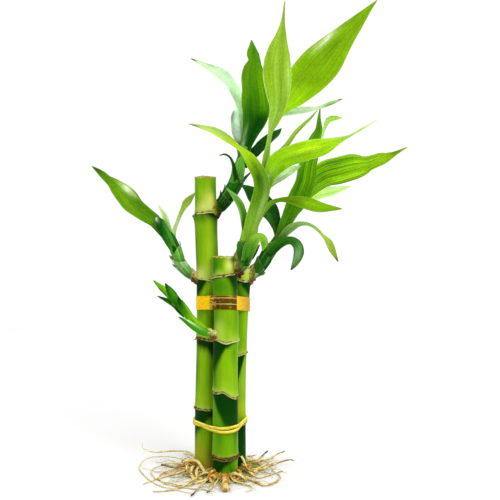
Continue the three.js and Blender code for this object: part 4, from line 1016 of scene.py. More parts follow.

# Each leaf's line is (x, y, z, half width) from base to tip, with the turn about it in degrees at both ends,
# how far the blade folds up and waves, and the depth of its veins. Its paints go from base to tip, and its
# edge is paler. Its marks are streaks of colour as (x, z, half length, half width, colour, strength): some
# are the blade's own tones, and many are painted highlights, painted sheens and painted shade.
Leaf = namedtuple("Leaf", "slot paints edge turn line marks fold wave veins", defaults=([], 0.25, 0, 0.3))
LEAVES = {}
LEAVES["tall_top"] = [Leaf(
    # Its dark base, in its paints and its marks, is painted shade in the cupped foot of the blade
    slot="leaf_mid", paints=("#0f5804", "#267804", "#62a604", "#62a006"), edge="#86b02c",
    turn=(0, 20), wave=0.5, veins=0.6,
    line=[
        (11, 16, 210, 3.8), (13, 16.5, 221.5, 4.2), (16.5, 17, 232, 5.9), (20, 18, 244.5, 9.1),
        (20, 19, 256.5, 10), (18.6, 20, 270.5, 8.99), (18.5, 20.3, 276.6, 7.39), (19.2, 20.8, 283, 4.4),
        (18.1, 21, 287.6, 4.4), (17.8, 21.5, 292.6, 2.59), (17.5, 22, 298, 0.28)],
    marks=[
        (14.3, 275.2, 10, 1.6, "#78a406", 0.8), (26.2, 275.2, 10, 2, "#7cb00c", 0.8),
        (12.2, 258.8, 12, 1.4, "#74a604", 0.7), (26.1, 257.4, 11, 2.4, "#7cb806", 0.85),
        (19.2, 289.3, 6, 2.4, "#3c8412", 0.7), (21.3, 238.5, 6, 6, "#064c04", 0.95),
        (25.4, 241.9, 4, 3.4, "#085404", 0.9), (17.1, 229.3, 9, 4, "#075004", 0.95),
        (26.8, 249.6, 4, 3, "#4ca404", 0.6), (13.3, 241.2, 9, 1.6, "#3c8008", 0.7),
        (12.9, 231.3, 6, 1.1, "#8cb468", 0.8), (11.2, 223, 5, 1.1, "#b4d49c", 0.8),
        (17.8, 265.3, 14, 1.6, "#4a9004", 0.6), (20.6, 251.2, 8, 1.4, "#4a9404", 0.5)]
), Leaf(
    slot="leaf_pale", paints=("#a8c890", "#d0ecc4", "#e0f6d8", "#cfe6bc"), edge="#f0fcea",
    turn=(10, 40), wave=0.3, veins=0.2,
    line=[
        (11.5, 20, 215, 2.1), (11.5, 23, 234, 2.2), (10.5, 27, 248.5, 3), (7, 30, 260.5, 4.2),
        (0.5, 33, 271.5, 4.7), (-6.5, 36, 278.5, 4.9), (-15.5, 38, 284, 3), (-26.5, 40, 290, 0.4)],
    marks=[(-25.4, 289, 3, 3, "#3c4c1c", 0.9), (-18.3, 284.1, 5, 1.2, "#b4dc98", 0.5)]
), Leaf(
    slot="leaf_pale", paints=("#9cb89a", "#cfe2cc", "#e0f0e0", "#dcecd8"), edge="#f4faf2",
    turn=(0, 0), wave=0.3, veins=0.2,
    line=[
        (11, 19, 213.5, 2.8), (9.5, 22, 224.5, 3.1), (8.5, 27, 234.5, 5), (9, 34, 244.5, 6.5),
        (10, 43, 251, 5.5), (11, 52, 255, 0.6)],
    marks=[(3.8, 246.4, 8, 1.1, "#54784f", 0.6), (9.7, 223.8, 4, 3, "#145c1c", 0.85)]
), Leaf(
    slot="leaf_dark", paints=("#123f0a", "#174a0e", "#1d5412", "#2c6a1a"), edge="#4c8a3a",
    turn=(10, 30), fold=0.2, veins=0.4,
    line=[
        (8, 12, 195, 1.9), (6, 9, 204, 1.5), (4.8, 8, 209.6, 1.1), (2.8, 7, 213.7, 0.8),
        (-0.5, 6, 215.6, 0.7), (-4.5, 5.5, 214.9, 0.25)]
), Leaf(
    slot="leaf_dark", paints=("#0f420a", "#164f10", "#1c5c16", "#2f7a26"), edge="#5a9a50",
    turn=(-20, -40), wave=0.2, veins=0.5,
    line=[
        (13.5, 18, 208, 2.6), (17, 22, 215.5, 3.9), (23, 27, 222.5, 4.5), (30, 32, 229.9, 4.4),
        (35.2, 35, 234.4, 3.5), (39.2, 37, 238.8, 0.3)],
    marks=[(32.1, 222.5, 8, 2, "#1a5c0c", 0.5), (40.8, 230.1, 6, 1.4, "#4c9030", 0.6)]
), Leaf(
    slot="leaf_dark", paints=("#0f440c", "#165010", "#1d5c16", "#2c7020"), edge="#4f8f44",
    turn=(-60, -70), fold=0.3, veins=0.4,
    line=[(4.5, 17, 188.5, 2.2), (9.5, 23, 195, 2.8), (14.5, 30, 203, 2.9), (19.5, 37, 209.5, 0.6)]
), Leaf(
    slot="leaf_pale", paints=("#90b862", "#c4dcaa", "#dcecd0", "#e4f2d8"), edge="#f2f8ea",
    turn=(-30, -50), wave=0.2, veins=0.2,
    line=[
        (13.5, 19, 220.5, 2), (15.4, 24, 232.5, 2.2), (21, 28, 242.1, 2.4), (29.3, 32, 246.9, 2.6),
        (39.1, 35, 248.7, 4), (50, 39, 251.2, 4.2), (59.5, 42, 253, 3.8), (67.5, 44, 255, 2.3),
        (76, 46, 258.5, 2.6), (84.5, 48, 262.5, 0.5)],
    marks=[(76.7, 258.4, 6, 3, "#88c404", 0.9), (83.9, 262.3, 1.8, 3, "#3c4804", 0.9)]
)]
LEAVES["front_top"] = [Leaf(
    slot="leaf_bright", paints=("#8cc02c", "#649c0c", "#a0d014", "#dcf090"), edge="#d0ec74",
    turn=(5, 35), fold=0.4, wave=0.2, veins=0.15,
    line=[
        (14.4, -9.2, 156.9, 4.3), (16.4, -9.6, 165.4, 4.6), (19, -10.2, 173.8, 5.2), (21.6, -11, 182.3, 5.5),
        (23.5, -12, 190, 5.6), (22.2, -14, 198.2, 5.3), (18.3, -16.5, 205, 4.7), (14.5, -18.5, 210.5, 3.8),
        (9.5, -21, 215.5, 1.8), (2.5, -23.5, 220.5, 2.7), (-5.5, -25.5, 225, 3), (-13, -27, 227.5, 1.8),
        (-22, -28, 230, 0.3)],
    marks=[
        (15.1, 211.8, 10, 2.6, "#aed810", 0.8), (20.3, 205, 9, 2.2, "#a2d00e", 0.7),
        (22.2, 196.3, 9, 3.2, "#145c00", 0.95), (20.3, 203.8, 6, 1.8, "#4c9002", 0.7),
        (26.8, 197.6, 6, 1.6, "#4c9402", 0.5), (22.3, 184.9, 9, 2.6, "#4c8804", 0.8),
        (5, 218.7, 10, 2, "#c4e034", 0.7), (-5.7, 222.8, 9, 1.6, "#c6e840", 0.7),
        (-3.8, 226.6, 9, 2, "#a8c870", 0.6), (-19.3, 228.1, 4, 2, "#5a6a1c", 0.85),
        (17.7, 173.8, 8, 3, "#84b830", 0.6), (23.6, 178.4, 14, 1.5, "#bce07c", 0.55)]
), Leaf(
    slot="leaf_bright", paints=("#7cb814", "#98d00c", "#acdc14", "#e0f2b8"), edge="#d8f088",
    turn=(-10, -40), wave=0.4,
    line=[
        (23.5, -5, 184, 4.7), (27, -8, 193.5, 4.4), (30.5, -11, 201, 4.7), (36, -13.5, 208, 7.2),
        (44, -16, 211.5, 7.4), (53.5, -18, 214, 7.6), (62.5, -19, 216, 6.4), (71.5, -19, 220, 3.6),
        (80.5, -19, 224, 1.1), (89, -18.5, 229, 0.8), (98, -18, 234.5, 0.3)],
    marks=[
        (37.1, 205.4, 8, 3, "#a4dc04", 0.8), (42.2, 210.3, 8, 2.4, "#84c404", 0.7),
        (52.3, 215.8, 12, 2.2, "#d0fc20", 0.85), (35.9, 201.8, 6, 3, "#5c9c0c", 0.6),
        (67.6, 216.9, 10, 2, "#a8d814", 0.6), (56.2, 211.3, 12, 1.6, "#84c40c", 0.6),
        (26.9, 193.6, 8, 1.6, "#c6e29c", 0.7), (48.6, 203.8, 8, 1.6, "#78bc0c", 0.5)]
), Leaf(
    slot="leaf_bright", paints=("#84b038", "#9cc83c", "#9cc42c", "#acd048"), edge="#d8f0a8",
    turn=(10, -20), wave=0.4, veins=0.4,
    line=[
        (25.5, -2, 197.5, 2.7), (26.5, -2, 211, 2), (28.5, -2, 221, 1.5), (30, -2, 229.5, 1.6),
        (32, -2, 236, 3.5), (34.5, -2.5, 244, 5.3), (35, -3, 255, 7.9), (34.5, -4, 269.5, 9.4),
        (35.5, -6, 283, 7), (37, -8, 292, 3.8), (38, -10, 300.5, 1.3), (39, -13, 312.5, 0.3)],
    marks=[
        (37, 261.1, 15, 1, "#7aa80c", 0.6), (29.6, 272.8, 12, 2, "#84ae0a", 0.6),
        (41.5, 264.8, 16, 1.8, "#b8e060", 0.8), (38, 293.3, 7, 2, "#98b62c", 0.5),
        (32.9, 275.4, 9, 1.4, "#b0d450", 0.6), (29.7, 261.1, 10, 2, "#86bc02", 0.6),
        (38.6, 303.8, 6, 1.2, "#9cb848", 0.6), (28.4, 230.8, 9, 2, "#a4cc60", 0.5),
        (34.3, 238.7, 8, 1.4, "#86ac3c", 0.5)]
), Leaf(
    slot="leaf_bright", paints=("#b8ec08", "#a4d804", "#86b804", "#88b80c"), edge="#c4dc60",
    turn=(0, -35), fold=0.18, wave=0.5, veins=0.35,
    line=[
        (25.2, -2.7, 193, 1.6), (26.6, 0.6, 199, 1.9), (28, 5, 209.5, 2), (29.1, 10, 222, 1.3),
        (30.7, 14, 232.6, 1.3), (34.6, 18, 241.7, 2.5), (39.9, 21, 250.5, 5.3), (46.4, 24, 257.8, 9.8),
        (54.3, 27.5, 268, 14.2), (65, 30, 280.3, 15.6), (76.5, 31.5, 294.5, 12.7), (89.5, 32.5, 309.5, 7.7),
        (99, 33, 320.5, 3.8), (107.5, 33, 330, 0.3)],
    marks=[
        (71.4, 303.1, 8, 2, "#eaf6cc", 0.9), (64.2, 296.6, 6, 2.2, "#cfe08c", 0.6),
        (80.8, 309.1, 6, 1.4, "#b4d060", 0.6), (77.8, 298.1, 12, 2.2, "#6c9c02", 0.75),
        (85.1, 314.1, 9, 2.5, "#78a806", 0.6), (45.9, 255, 11, 7, "#a8de0a", 0.75),
        (60.5, 282, 13, 8, "#80ae04", 0.5), (70.5, 284.8, 10, 3, "#7fae06", 0.5),
        (92.3, 320, 6, 1.6, "#5a8a08", 0.6), (73.3, 284.8, 14, 1.6, "#98c40c", 0.6),
        (54.6, 275.6, 8, 3, "#7ca804", 0.5), (89.4, 317.7, 5, 1.2, "#c4d888", 0.25)]
), Leaf(
    slot="leaf_bright", paints=("#84b834", "#689c04", "#78a804", "#84b408"), edge="#a8cc3c",
    turn=(-20, -45), wave=0.3, veins=0.2,
    line=[
        (19, -4, 162.2, 1.2), (20.6, -8.4, 166.1, 1.7), (22.9, -9.4, 172.2, 2.1), (25.7, -11, 177.1, 2.2),
        (29.4, -13.5, 180.6, 2), (34.4, -16.5, 182.7, 1.8), (41.5, -20.5, 182.7, 2.7), (50, -23, 180.5, 4.8),
        (59.5, -24, 177.5, 5), (67, -24, 177, 2.9), (74.5, -24, 177, 0.4)],
    marks=[
        (43.8, 181.6, 7, 3.6, "#557c06", 0.85), (54.4, 178.9, 5, 3, "#8cc408", 0.7),
        (63.8, 177.6, 8, 3, "#7cb406", 0.5), (33.8, 183.2, 6, 2.6, "#62a00c", 0.7),
        (24.2, 175.8, 7, 2, "#9ccc5c", 0.7), (72, 175.7, 3, 1.5, "#8a7a2c", 0.8)]
), Leaf(
    slot="leaf_mid", paints=("#3f8014", "#4c9014", "#5a9c24", "#8cba5c"), edge="#b0d48c",
    turn=(10, 35), fold=0.3,
    line=[
        (15, -4, 159, 2), (13, -8, 165.5, 2.2), (12, -10, 173, 2.5), (10, -12, 179.5, 2.7),
        (6.5, -14, 185, 2.1), (1.5, -16, 190.5, 0.4)],
    marks=[(9.9, 173.9, 9, 1.2, "#b4d88c", 0.7), (12.5, 167.4, 8, 2, "#4c9018", 0.5)]
), Leaf(
    slot="leaf_mid", paints=("#3f8010", "#4c9016", "#8cc434", "#6ca82c"), edge="#c8e488",
    turn=(-20, -15), fold=0.2, veins=0.2,
    line=[
        (14.4, -8.2, 143.8, 3.4), (16.1, -10.6, 151, 4.2), (18.7, -12, 156.2, 4.2), (21.9, -12.6, 159.1, 3),
        (24.8, -12.8, 158.1, 2.7), (25.5, -13, 154.6, 2.2), (24.5, -13, 150.4, 0.3)],
    marks=[(20.3, 160.1, 5, 1.6, "#9cc840", 0.5), (24.8, 154.9, 3, 2, "#5c9424", 0.7)]
), Leaf(
    slot="leaf_dark", paints=("#1c560e", "#226214", "#2a7018", "#3f8424"), edge="#5f9c48",
    turn=(5, 15), fold=0.4, veins=0.4,
    line=[
        (12.8, -7.5, 140.5, 2.9), (12, -8.5, 146, 3.9), (10.6, -9, 151.8, 3.5), (9.2, -9.6, 155.2, 1.9),
        (8.6, -10, 156.6, 0.3)],
    marks=[
        (12.5, 153.6, 3, 2.5, "#3c7c2c", 0.6), (11.8, 147.1, 5, 2.4, "#17480c", 0.7),
        (9.8, 139.2, 3, 3, "#4f9a1c", 0.8)]
), Leaf(
    slot="leaf_dark", paints=("#153f10", "#1a4a14", "#20581a", "#347028"), edge="#4f8a44",
    turn=(-30, -30), fold=0.2,
    line=[(15, 2, 143, 2.3), (19, 5, 148.5, 1.9), (23, 7, 154.5, 0.3)]
), Leaf(
    slot="leaf_pale", paints=("#98bc6a", "#bcdc98", "#d4ecb4", "#a8d42a"), edge="#e2f2ca",
    turn=(-20, -30), fold=0.2, veins=0.2,
    line=[
        (23.6, -3, 185, 1.6), (26.2, 0.6, 189, 1.8), (31, 4, 198, 1.8), (44.5, 8, 210, 1.6),
        (57.5, 11, 220, 1.3), (65, 13, 228, 1.2), (68, 14, 235.5, 1.2), (71, 15, 240.5, 2.3),
        (75, 16, 242, 2.2), (80, 17, 242.5, 0.3)]
), Leaf(
    slot="leaf_pale", paints=("#a4c478", "#c8e0ac", "#dcf0c8", "#cce4aa"), edge="#eef8e2",
    turn=(-15, -35), wave=0.2, veins=0.2,
    line=[
        (23, -2, 187, 2.1), (29.5, -1, 194.5, 2.8), (36.5, 0, 199.5, 3.4), (44, 1, 204, 3.1),
        (50.5, 2, 207.5, 0.3)]
), Leaf(
    slot="leaf_bright", paints=("#6f7c24", "#8ca030", "#a4cc40", "#a8cc58"), edge="#c8e088",
    turn=(-30, -45), veins=0.4,
    line=[
        (25, -2.7, 189.5, 1.6), (26.6, 2, 195, 1.9), (30.5, 8, 206.5, 2), (36.5, 13, 217.5, 2.1),
        (42, 17, 223.5, 2.1), (48, 20, 232, 2), (53.5, 22, 238, 1.8), (59.5, 24, 244, 1.2),
        (64, 25, 249.5, 0.3)]
)]
LEAVES["right_top"] = [Leaf(
    slot="leaf_dark", paints=("#2a6a14", "#2f7414", "#468430", "#4c8038"), edge="#78a85a",
    turn=(-30, -10), fold=0.2, veins=0.6,
    line=[
        (30, 8, 147.6, 3.1), (35.9, 3.5, 154.4, 3.4), (41.1, 0, 157, 3), (45, -2, 156.7, 3),
        (47.8, -4, 153.6, 3.4), (48.4, -5, 149.7, 3.6), (46.7, -6, 143.8, 2.7), (43.4, -6, 137.8, 0.3)],
    marks=[
        (47.4, 148.4, 4, 1.8, "#98b888", 0.7), (49.5, 153, 3, 1.4, "#74a85c", 0.6),
        (40.4, 157, 8, 1.2, "#2c7c14", 0.6), (45.4, 143.1, 4, 1.4, "#86a878", 0.6),
        (51.4, 148.4, 7, 1.1, "#1f5414", 0.7), (44.5, 148.4, 8, 1, "#2a6418", 0.7),
        (31.2, 156.4, 8, 2, "#3f8c14", 0.6), (44.1, 138.5, 2.5, 2, "#0f3a14", 0.8)]
), Leaf(
    slot="leaf_mid", paints=("#6aa034", "#9cc474", "#a8c860", "#94b41c"), edge="#cfe2b0",
    turn=(-30, -20), wave=0.5,
    line=[
        (37, 10, 157, 2.4), (42.7, 4, 164.2, 2.9), (49, -1, 167.9, 2.1), (54.8, -4, 167.9, 1.5),
        (59.8, -6.5, 165.1, 0.9), (63.8, -8.5, 160.8, 1), (67.5, -10, 156.2, 2.5), (69.6, -11, 151.4, 2.4),
        (71.8, -11, 147.1, 1.3), (73.7, -11, 143.4, 0.3)],
    marks=[
        (52.8, 166.9, 8, 1.6, "#a8cf78", 0.7), (66, 157.5, 6, 2, "#b2cc1c", 0.7),
        (71.8, 147.7, 5, 2, "#8cae10", 0.7), (43.3, 163.1, 7, 1.8, "#a4d070", 0.7),
        (73.4, 144.5, 2, 2, "#3c5414", 0.85)]
), Leaf(
    slot="leaf_mid", paints=("#4f8c10", "#5ca008", "#74b80a", "#62a814"), edge="#9ccc3c",
    turn=(-5, -30), wave=0.3, veins=1,
    line=[
        (35, 12, 154.5, 3.4), (39.5, 9, 166, 3.8), (44.5, 7, 177, 5.2), (50, 5, 187, 7.3),
        (54, 4, 197.5, 6.7), (55.5, 3, 207, 6.2), (58, 2, 216, 5.3), (60, 1, 224.5, 4.3), (62.5, 0, 231, 2.7),
        (62.5, -1, 238.5, 1.2), (63, -2, 245, 0.3)],
    marks=[
        (44.9, 181.5, 9, 2, "#2c7404", 0.8), (50.1, 198.1, 12, 1.6, "#3c8408", 0.6),
        (54.8, 201.5, 14, 1.8, "#86c808", 0.8), (47.6, 170, 8, 2, "#6fae10", 0.6),
        (42.3, 163.3, 6, 2, "#2a6a08", 0.7), (58.1, 206.1, 10, 1.2, "#9cd41c", 0.7),
        (61.8, 231.1, 8, 2, "#3c7c10", 0.6)]
), Leaf(
    slot="leaf_bright", paints=("#78b410", "#80bc08", "#94cc08", "#a8d818"), edge="#c0e84c",
    turn=(-10, -35), fold=0.2, wave=0.6, veins=1.5,
    line=[
        (38, 16, 163.5, 2.8), (44.5, 21, 175, 3.2), (51, 25, 185, 4), (59.5, 29, 195.5, 7.1),
        (70, 32, 204, 10.3), (81, 34, 207.3, 10.91), (90.5, 35, 210, 10.36), (96.3, 35.5, 211.3, 9.07),
        (101.4, 36, 212.7, 6.7), (106.5, 36, 214.4, 5.91), (111.5, 36, 216.3, 5.33), (116.2, 36, 218, 3.53),
        (121.2, 36, 220.5, 1.8), (129.5, 36, 225, 0.36)],
    marks=[
        (67.9, 203.9, 8, 4, "#4c9c04", 0.5), (75.2, 212.7, 9, 2.6, "#5ca406", 0.7),
        (84.7, 215.7, 10, 2.2, "#64ac06", 0.6), (88.3, 203.5, 12, 1.8, "#b6e62a", 0.7),
        (113.7, 217.3, 6, 2, "#b4e01c", 0.8), (121.6, 222.3, 5, 2, "#3a7808", 0.8),
        (104.3, 215.9, 8, 3, "#9cd418", 0.5), (66.1, 197.2, 6, 2, "#9ccf2e", 0.5)]
), Leaf(
    slot="leaf_pale", paints=("#c0e080", "#dcf89c", "#e4fcb0", "#e8f8c8"), edge="#f4fce0",
    turn=(-30, -50), wave=0.3, veins=0.2,
    line=[
        (38.5, 18, 165, 2.4), (44.5, 27, 176, 3.4), (53, 36, 185, 4.2), (64, 43, 190.5, 5.3),
        (76, 48, 193.5, 5.5), (91.5, 52, 198.5, 0.5)]
), Leaf(
    slot="leaf_dark", paints=("#174e10", "#1b5614", "#205e1a", "#2c7020"), edge="#4f8f44",
    turn=(0, 20), wave=0.3, veins=0.4,
    line=[
        (36.5, 13, 158, 2.7), (34.5, 15, 167.5, 3.5), (31, 14, 176, 5.5), (26, 11.5, 182, 6.8),
        (19, 9, 188, 5.6), (14.5, 7, 192, 3.1), (10.5, 5, 195, 0.3)],
    marks=[
        (24.6, 181.8, 9, 2, "#1a4c0c", 0.5), (28.8, 175.1, 9, 2, "#3f8420", 0.6),
        (33.6, 163.4, 6, 2, "#5aa42a", 0.6)]
)]
LEAVES["tall_low"] = [Leaf(
    slot="leaf_bright", paints=("#5c9c08", "#5e9604", "#6ca404", "#629604"), edge="#9cb83c",
    turn=(10, 40), wave=0.4, veins=0.4,
    line=[
        (-37.5, 8.5, 156.5, 3.13), (-42.8, 7.4, 164, 4), (-48.6, 6.3, 170.7, 4.74), (-53, 5.2, 173.8, 5.06),
        (-56.2, 4.1, 176.1, 5.46), (-60.3, 3, 179.2, 5.91), (-63.2, 1.9, 182.1, 6.84),
        (-65.8, 0.8, 185.2, 7.62), (-68.7, -0.4, 188.4, 7.14), (-71.7, -1.5, 191.5, 5.72),
        (-74.5, -2.6, 194.6, 4.25), (-78.1, -3.7, 197.6, 2.91), (-81, -4.8, 200.4, 2.64),
        (-84, -5.9, 203.1, 1.78), (-87.5, -7, 206, 0.26)],
    marks=[
        (-65.6, 192, 4.2, 2, "#f0f8d8", 0.95), (-70.1, 195.3, 4.5, 1.2, "#c0d66c", 0.6),
        (-61.9, 188.5, 4, 1.4, "#d0e48c", 0.6), (-57.5, 181.2, 9, 1.6, "#3f8004", 0.4),
        (-65.4, 181.2, 8, 2.4, "#86b814", 0.6), (-51.1, 176.7, 7, 1.6, "#4a8c06", 0.6),
        (-84.4, 203.7, 5, 2, "#2f5c10", 0.9), (-77.6, 197.4, 6, 2, "#5c9408", 0.6),
        (-69.2, 184.4, 6, 1.2, "#5a9408", 0.5)]
), Leaf(
    slot="leaf_mid", paints=("#8cb454", "#b4dc80", "#cdeaa4", "#d4ecb4"), edge="#e4f2cc",
    turn=(15, 20),
    line=[(-37.5, 9, 158, 2.1), (-40, 12, 167, 2.1), (-42.5, 15, 174, 1.9), (-47, 18, 182, 0.3)],
    marks=[(-45.7, 177.2, 4, 1.6, "#cfe29c", 0.8), (-41.2, 170.2, 5, 1, "#7c9c34", 0.6)]
), Leaf(
    slot="leaf_mid", paints=("#b4d47c", "#c4e08c", "#a2c038", "#a4c23c"), edge="#cfe49c",
    turn=(-10, -25), veins=0.2,
    line=[
        (-34, 9, 153.5, 2.1), (-36, 14, 162, 1.6), (-34, 19, 170.5, 1.4), (-31, 23, 178.5, 1.8),
        (-27.5, 26, 185, 2.9), (-22, 29, 192, 0.3)],
    marks=[
        (-27.4, 184.2, 6, 1.2, "#cfe69c", 0.45), (-24.5, 187.7, 4, 1.5, "#9cba34", 0.6),
        (-33.7, 170.5, 6, 1, "#c2dc9c", 0.8)]
), Leaf(
    slot="leaf_dark", paints=("#4c9a24", "#2c7c14", "#12560c", "#17600c"), edge="#4f9a34",
    turn=(15, 30), fold=0.3, veins=0.4,
    line=[
        (-34.5, 6, 149.5, 2.44), (-38.4, 3.5, 157.1, 3.09), (-41.1, 2.5, 162.7, 3.49),
        (-43.5, 2.3, 167.4, 3.56), (-44.9, 2.3, 170.3, 2.89), (-45.9, 2.5, 172.1, 1.61),
        (-46.4, 2.8, 173.1, 0.34)],
    marks=[
        (-46.7, 171.8, 2.2, 1.6, "#d4ecd4", 0.9), (-42.7, 169.8, 4, 2, "#0c4a08", 0.7),
        (-44, 163.8, 9, 1.4, "#063404", 0.85), (-36.8, 160.4, 9, 1.3, "#5cac34", 0.8),
        (-40, 167.1, 6, 1.2, "#3c9420", 0.7)]
)]
LEAVES["front_low"] = [Leaf(
    slot="leaf_mid", paints=("#5ca80c", "#5cae14", "#7cc41c", "#5c9c0c"), edge="#b0e048",
    turn=(15, 30), fold=0.3,
    line=[
        (-27.2, -10.5, 112.9, 1.7), (-32.9, -9.8, 117.3, 2.35), (-36.9, -9, 122.2, 2.55),
        (-41.3, -8.2, 125.8, 2.1), (-47, -7.5, 130.9, 0.33)],
    marks=[(-41.3, 124.1, 8, 0.9, "#2c6c08", 0.8), (-40, 126.1, 6, 1.4, "#8cd024", 0.7)]
), Leaf(
    slot="leaf_mid", paints=("#4ca00c", "#2f8a06", "#1f7404", "#0f5404"), edge="#7cc428",
    turn=(15, 30), fold=0.3,
    line=[
        (-25.3, -14, 111.1, 2.3), (-30.1, -15.2, 116.7, 2.8), (-33.5, -16, 121.5, 2.9),
        (-36, -17, 125.7, 2.15), (-38, -18, 129.6, 0.32)],
    marks=[
        (-37.3, 124, 9, 1.2, "#0f5c04", 0.85), (-32.9, 122.7, 8, 1.4, "#4cac0c", 0.7),
        (-38.1, 129.2, 3, 1.4, "#0c3c04", 0.8)]
), Leaf(
    slot="leaf_mid", paints=("#2f7c08", "#2c7404", "#2c7006", "#1c5804"), edge="#6cb028",
    turn=(20, 40), fold=0.3,
    line=[
        (-26.4, -9.6, 107.5, 1.2), (-29.5, -10.2, 110.9, 1.6), (-33.2, -11, 115, 1.6), (-37.7, -12, 118, 1.5),
        (-43.5, -13, 121, 0.32)],
    marks=[(-37.6, 116.5, 4, 1, "#5aa83c", 0.7)]
), Leaf(
    slot="leaf_mid", paints=("#c4ec20", "#74c010", "#2f8c06", "#0c5004"), edge="#9cd824",
    turn=(10, 20), fold=0.4,
    line=[
        (-13.4, -8, 97.5, 2.1), (-17.3, -11.2, 101.4, 2.4), (-21.8, -13.2, 106.1, 2.7),
        (-25.4, -15, 111.5, 2.8), (-28, -16.8, 116.1, 2.5), (-29.2, -18.2, 119.1, 1.5),
        (-29.1, -20, 121, 0.3)],
    marks=[
        (-29.4, 117.7, 5, 1.6, "#084402", 0.85), (-28.5, 111.6, 9, 1, "#146404", 0.8),
        (-22.7, 111.9, 9, 1.4, "#84cc14", 0.85), (-17.5, 103.5, 8, 2, "#b8e81c", 0.8)]
), Leaf(
    slot="leaf_mid", paints=("#58ac10", "#44a010", "#3c9410", "#2c7c0c"), edge="#d0f09c",
    turn=(25, 40), fold=0.3,
    line=[
        (-11.4, -7.1, 95.8, 2.3), (-14.9, -13, 97.9, 2.6), (-18.1, -16, 100.2, 2.6),
        (-22.2, -17.5, 103.1, 2.1), (-25.9, -18, 105.8, 1.3), (-29.4, -18, 108, 0.3)],
    marks=[
        (-22.4, 105, 9, 0.6, "#e4f6b8", 0.95), (-20.3, 99.5, 9, 1.6, "#2c8008", 0.8),
        (-16.5, 100.8, 6, 1, "#7cc820", 0.6)]
)]


def leaf_blade(name, leaf, seed):
    """A thin blade folded about the midrib on its line. The fourth share of its tints is how veined it is."""
    widest = max(place[3] for place in leaf.line)
    columns = 17 if widest < 4.5 else 29 if widest < 8 else 41
    length = follow(leaf.line, [0])[3]
    shares = np.linspace(0, 1, int(np.clip(length * 0.95, 34, 92)))
    across = np.sin(np.linspace(-1, 1, columns) * math.pi / 2 * 0.82) / math.sin(math.pi / 2 * 0.82)
    share, side_share = np.meshgrid(shares, np.concatenate([across, across[::-1]]), indexing="ij")
    upper = np.concatenate([np.ones(columns), -np.ones(columns)])
    place, ahead, side, _, half, _ = round_frames(leaf.line, share)
    first_turn, last_turn = leaf.turn
    turn = np.radians(first_turn + (last_turn - first_turn) * share)[..., None]
    side = side * np.cos(turn) + np.cross(ahead, side) * np.sin(turn)
    face = np.cross(side, ahead)
    half = np.clip(half, 0.12, None) + 0.1
    wander = np.random.default_rng(seed).uniform(0, 6.3, 6)
    half *= 1 + 0.035 * np.sin(share * 9 + wander[0]) * np.sin(share * 23 + wander[1])
    tight = np.clip(1 - share / 0.3, 0, 1)
    fold = leaf.fold + (BASE_FOLD - leaf.fold) * tight ** 1.5
    out = np.abs(side_share)
    lift = fold * out ** 1.4 * half
    lift += leaf.wave * side_share * np.sin(share * WAVES * 2 * math.pi) * np.sin(share * math.pi)
    curled = 0.03 * half * soft(out, 0.7, 1) * np.sin(share * 17 + side_share * 2 + wander[2])
    veins = 0.05 * leaf.veins * np.cos(side_share * half * 2 * math.pi / 1.5) * soft(half, 2.2, 3.5)
    groove = -0.16 * np.exp(-(side_share * half / 0.45) ** 2) * soft(half, 1, 2.5)
    thin = np.clip(1 - 0.75 * out ** 3, 0.2, 1) * (1 - 0.5 * share) * min(1, 0.5 + widest / 8)
    body = LEAF_THICK / 2 * thin + 0.16 * np.exp(-(side_share * half / 0.7) ** 2) * (upper < 0) * (1 - share)
    reach = side_share * half * np.cos(np.arctan(fold * 0.6))
    height = lift + curled + veins + groove + upper * body
    grid = place + side * reach[..., None] + face * height[..., None]
    blotch = np.sin(share * 11 + side_share * 1.7 + wander[3])
    blotch *= np.sin(share * 5 - side_share * 3 + wander[4])
    tint = lined(leaf.paints, share + 0.05 * np.sin(side_share * 3 + wander[5]))
    tint *= (1 + 0.09 * blotch)[..., None]
    front = grid[:, :columns]
    # The marks paint the blade's own streaks, and painted highlights, sheens and shade as well
    for x, z, long, wide, colour, strength in leaf.marks:
        nearest = np.hypot(front[..., 0] - x, front[..., 2] - z).argmin()
        row, column = np.unravel_index(nearest, front.shape[:2])
        run = (share - share[row, column]) * length / long
        drift = (side_share * half - side_share[row, column] * half[row, column]) / wide
        tint = blended(tint, paint(colour), np.exp(-run ** 2 - drift ** 2) * strength)
    tint = blended(tint, paint(leaf.edge), soft(out, 0.9, 1.0) * 0.5 * soft(half, 0.5, 2))
    rib = np.exp(-(side_share * half / 0.4) ** 2) * soft(half, 2, 4) * (1 - share)
    tint = blended(tint, paint(leaf.edge), rib * 0.12)
    tint *= np.where(upper > 0, 1, 1.06)[:, None]
    tints = np.concatenate([tint, np.full((*share.shape, 1), leaf.veins)], -1)
    around = np.concatenate([across, across[::-1], across[:1]]) * widest / 10
    return skinned(name, grid, tints, around, shares * length / 100)


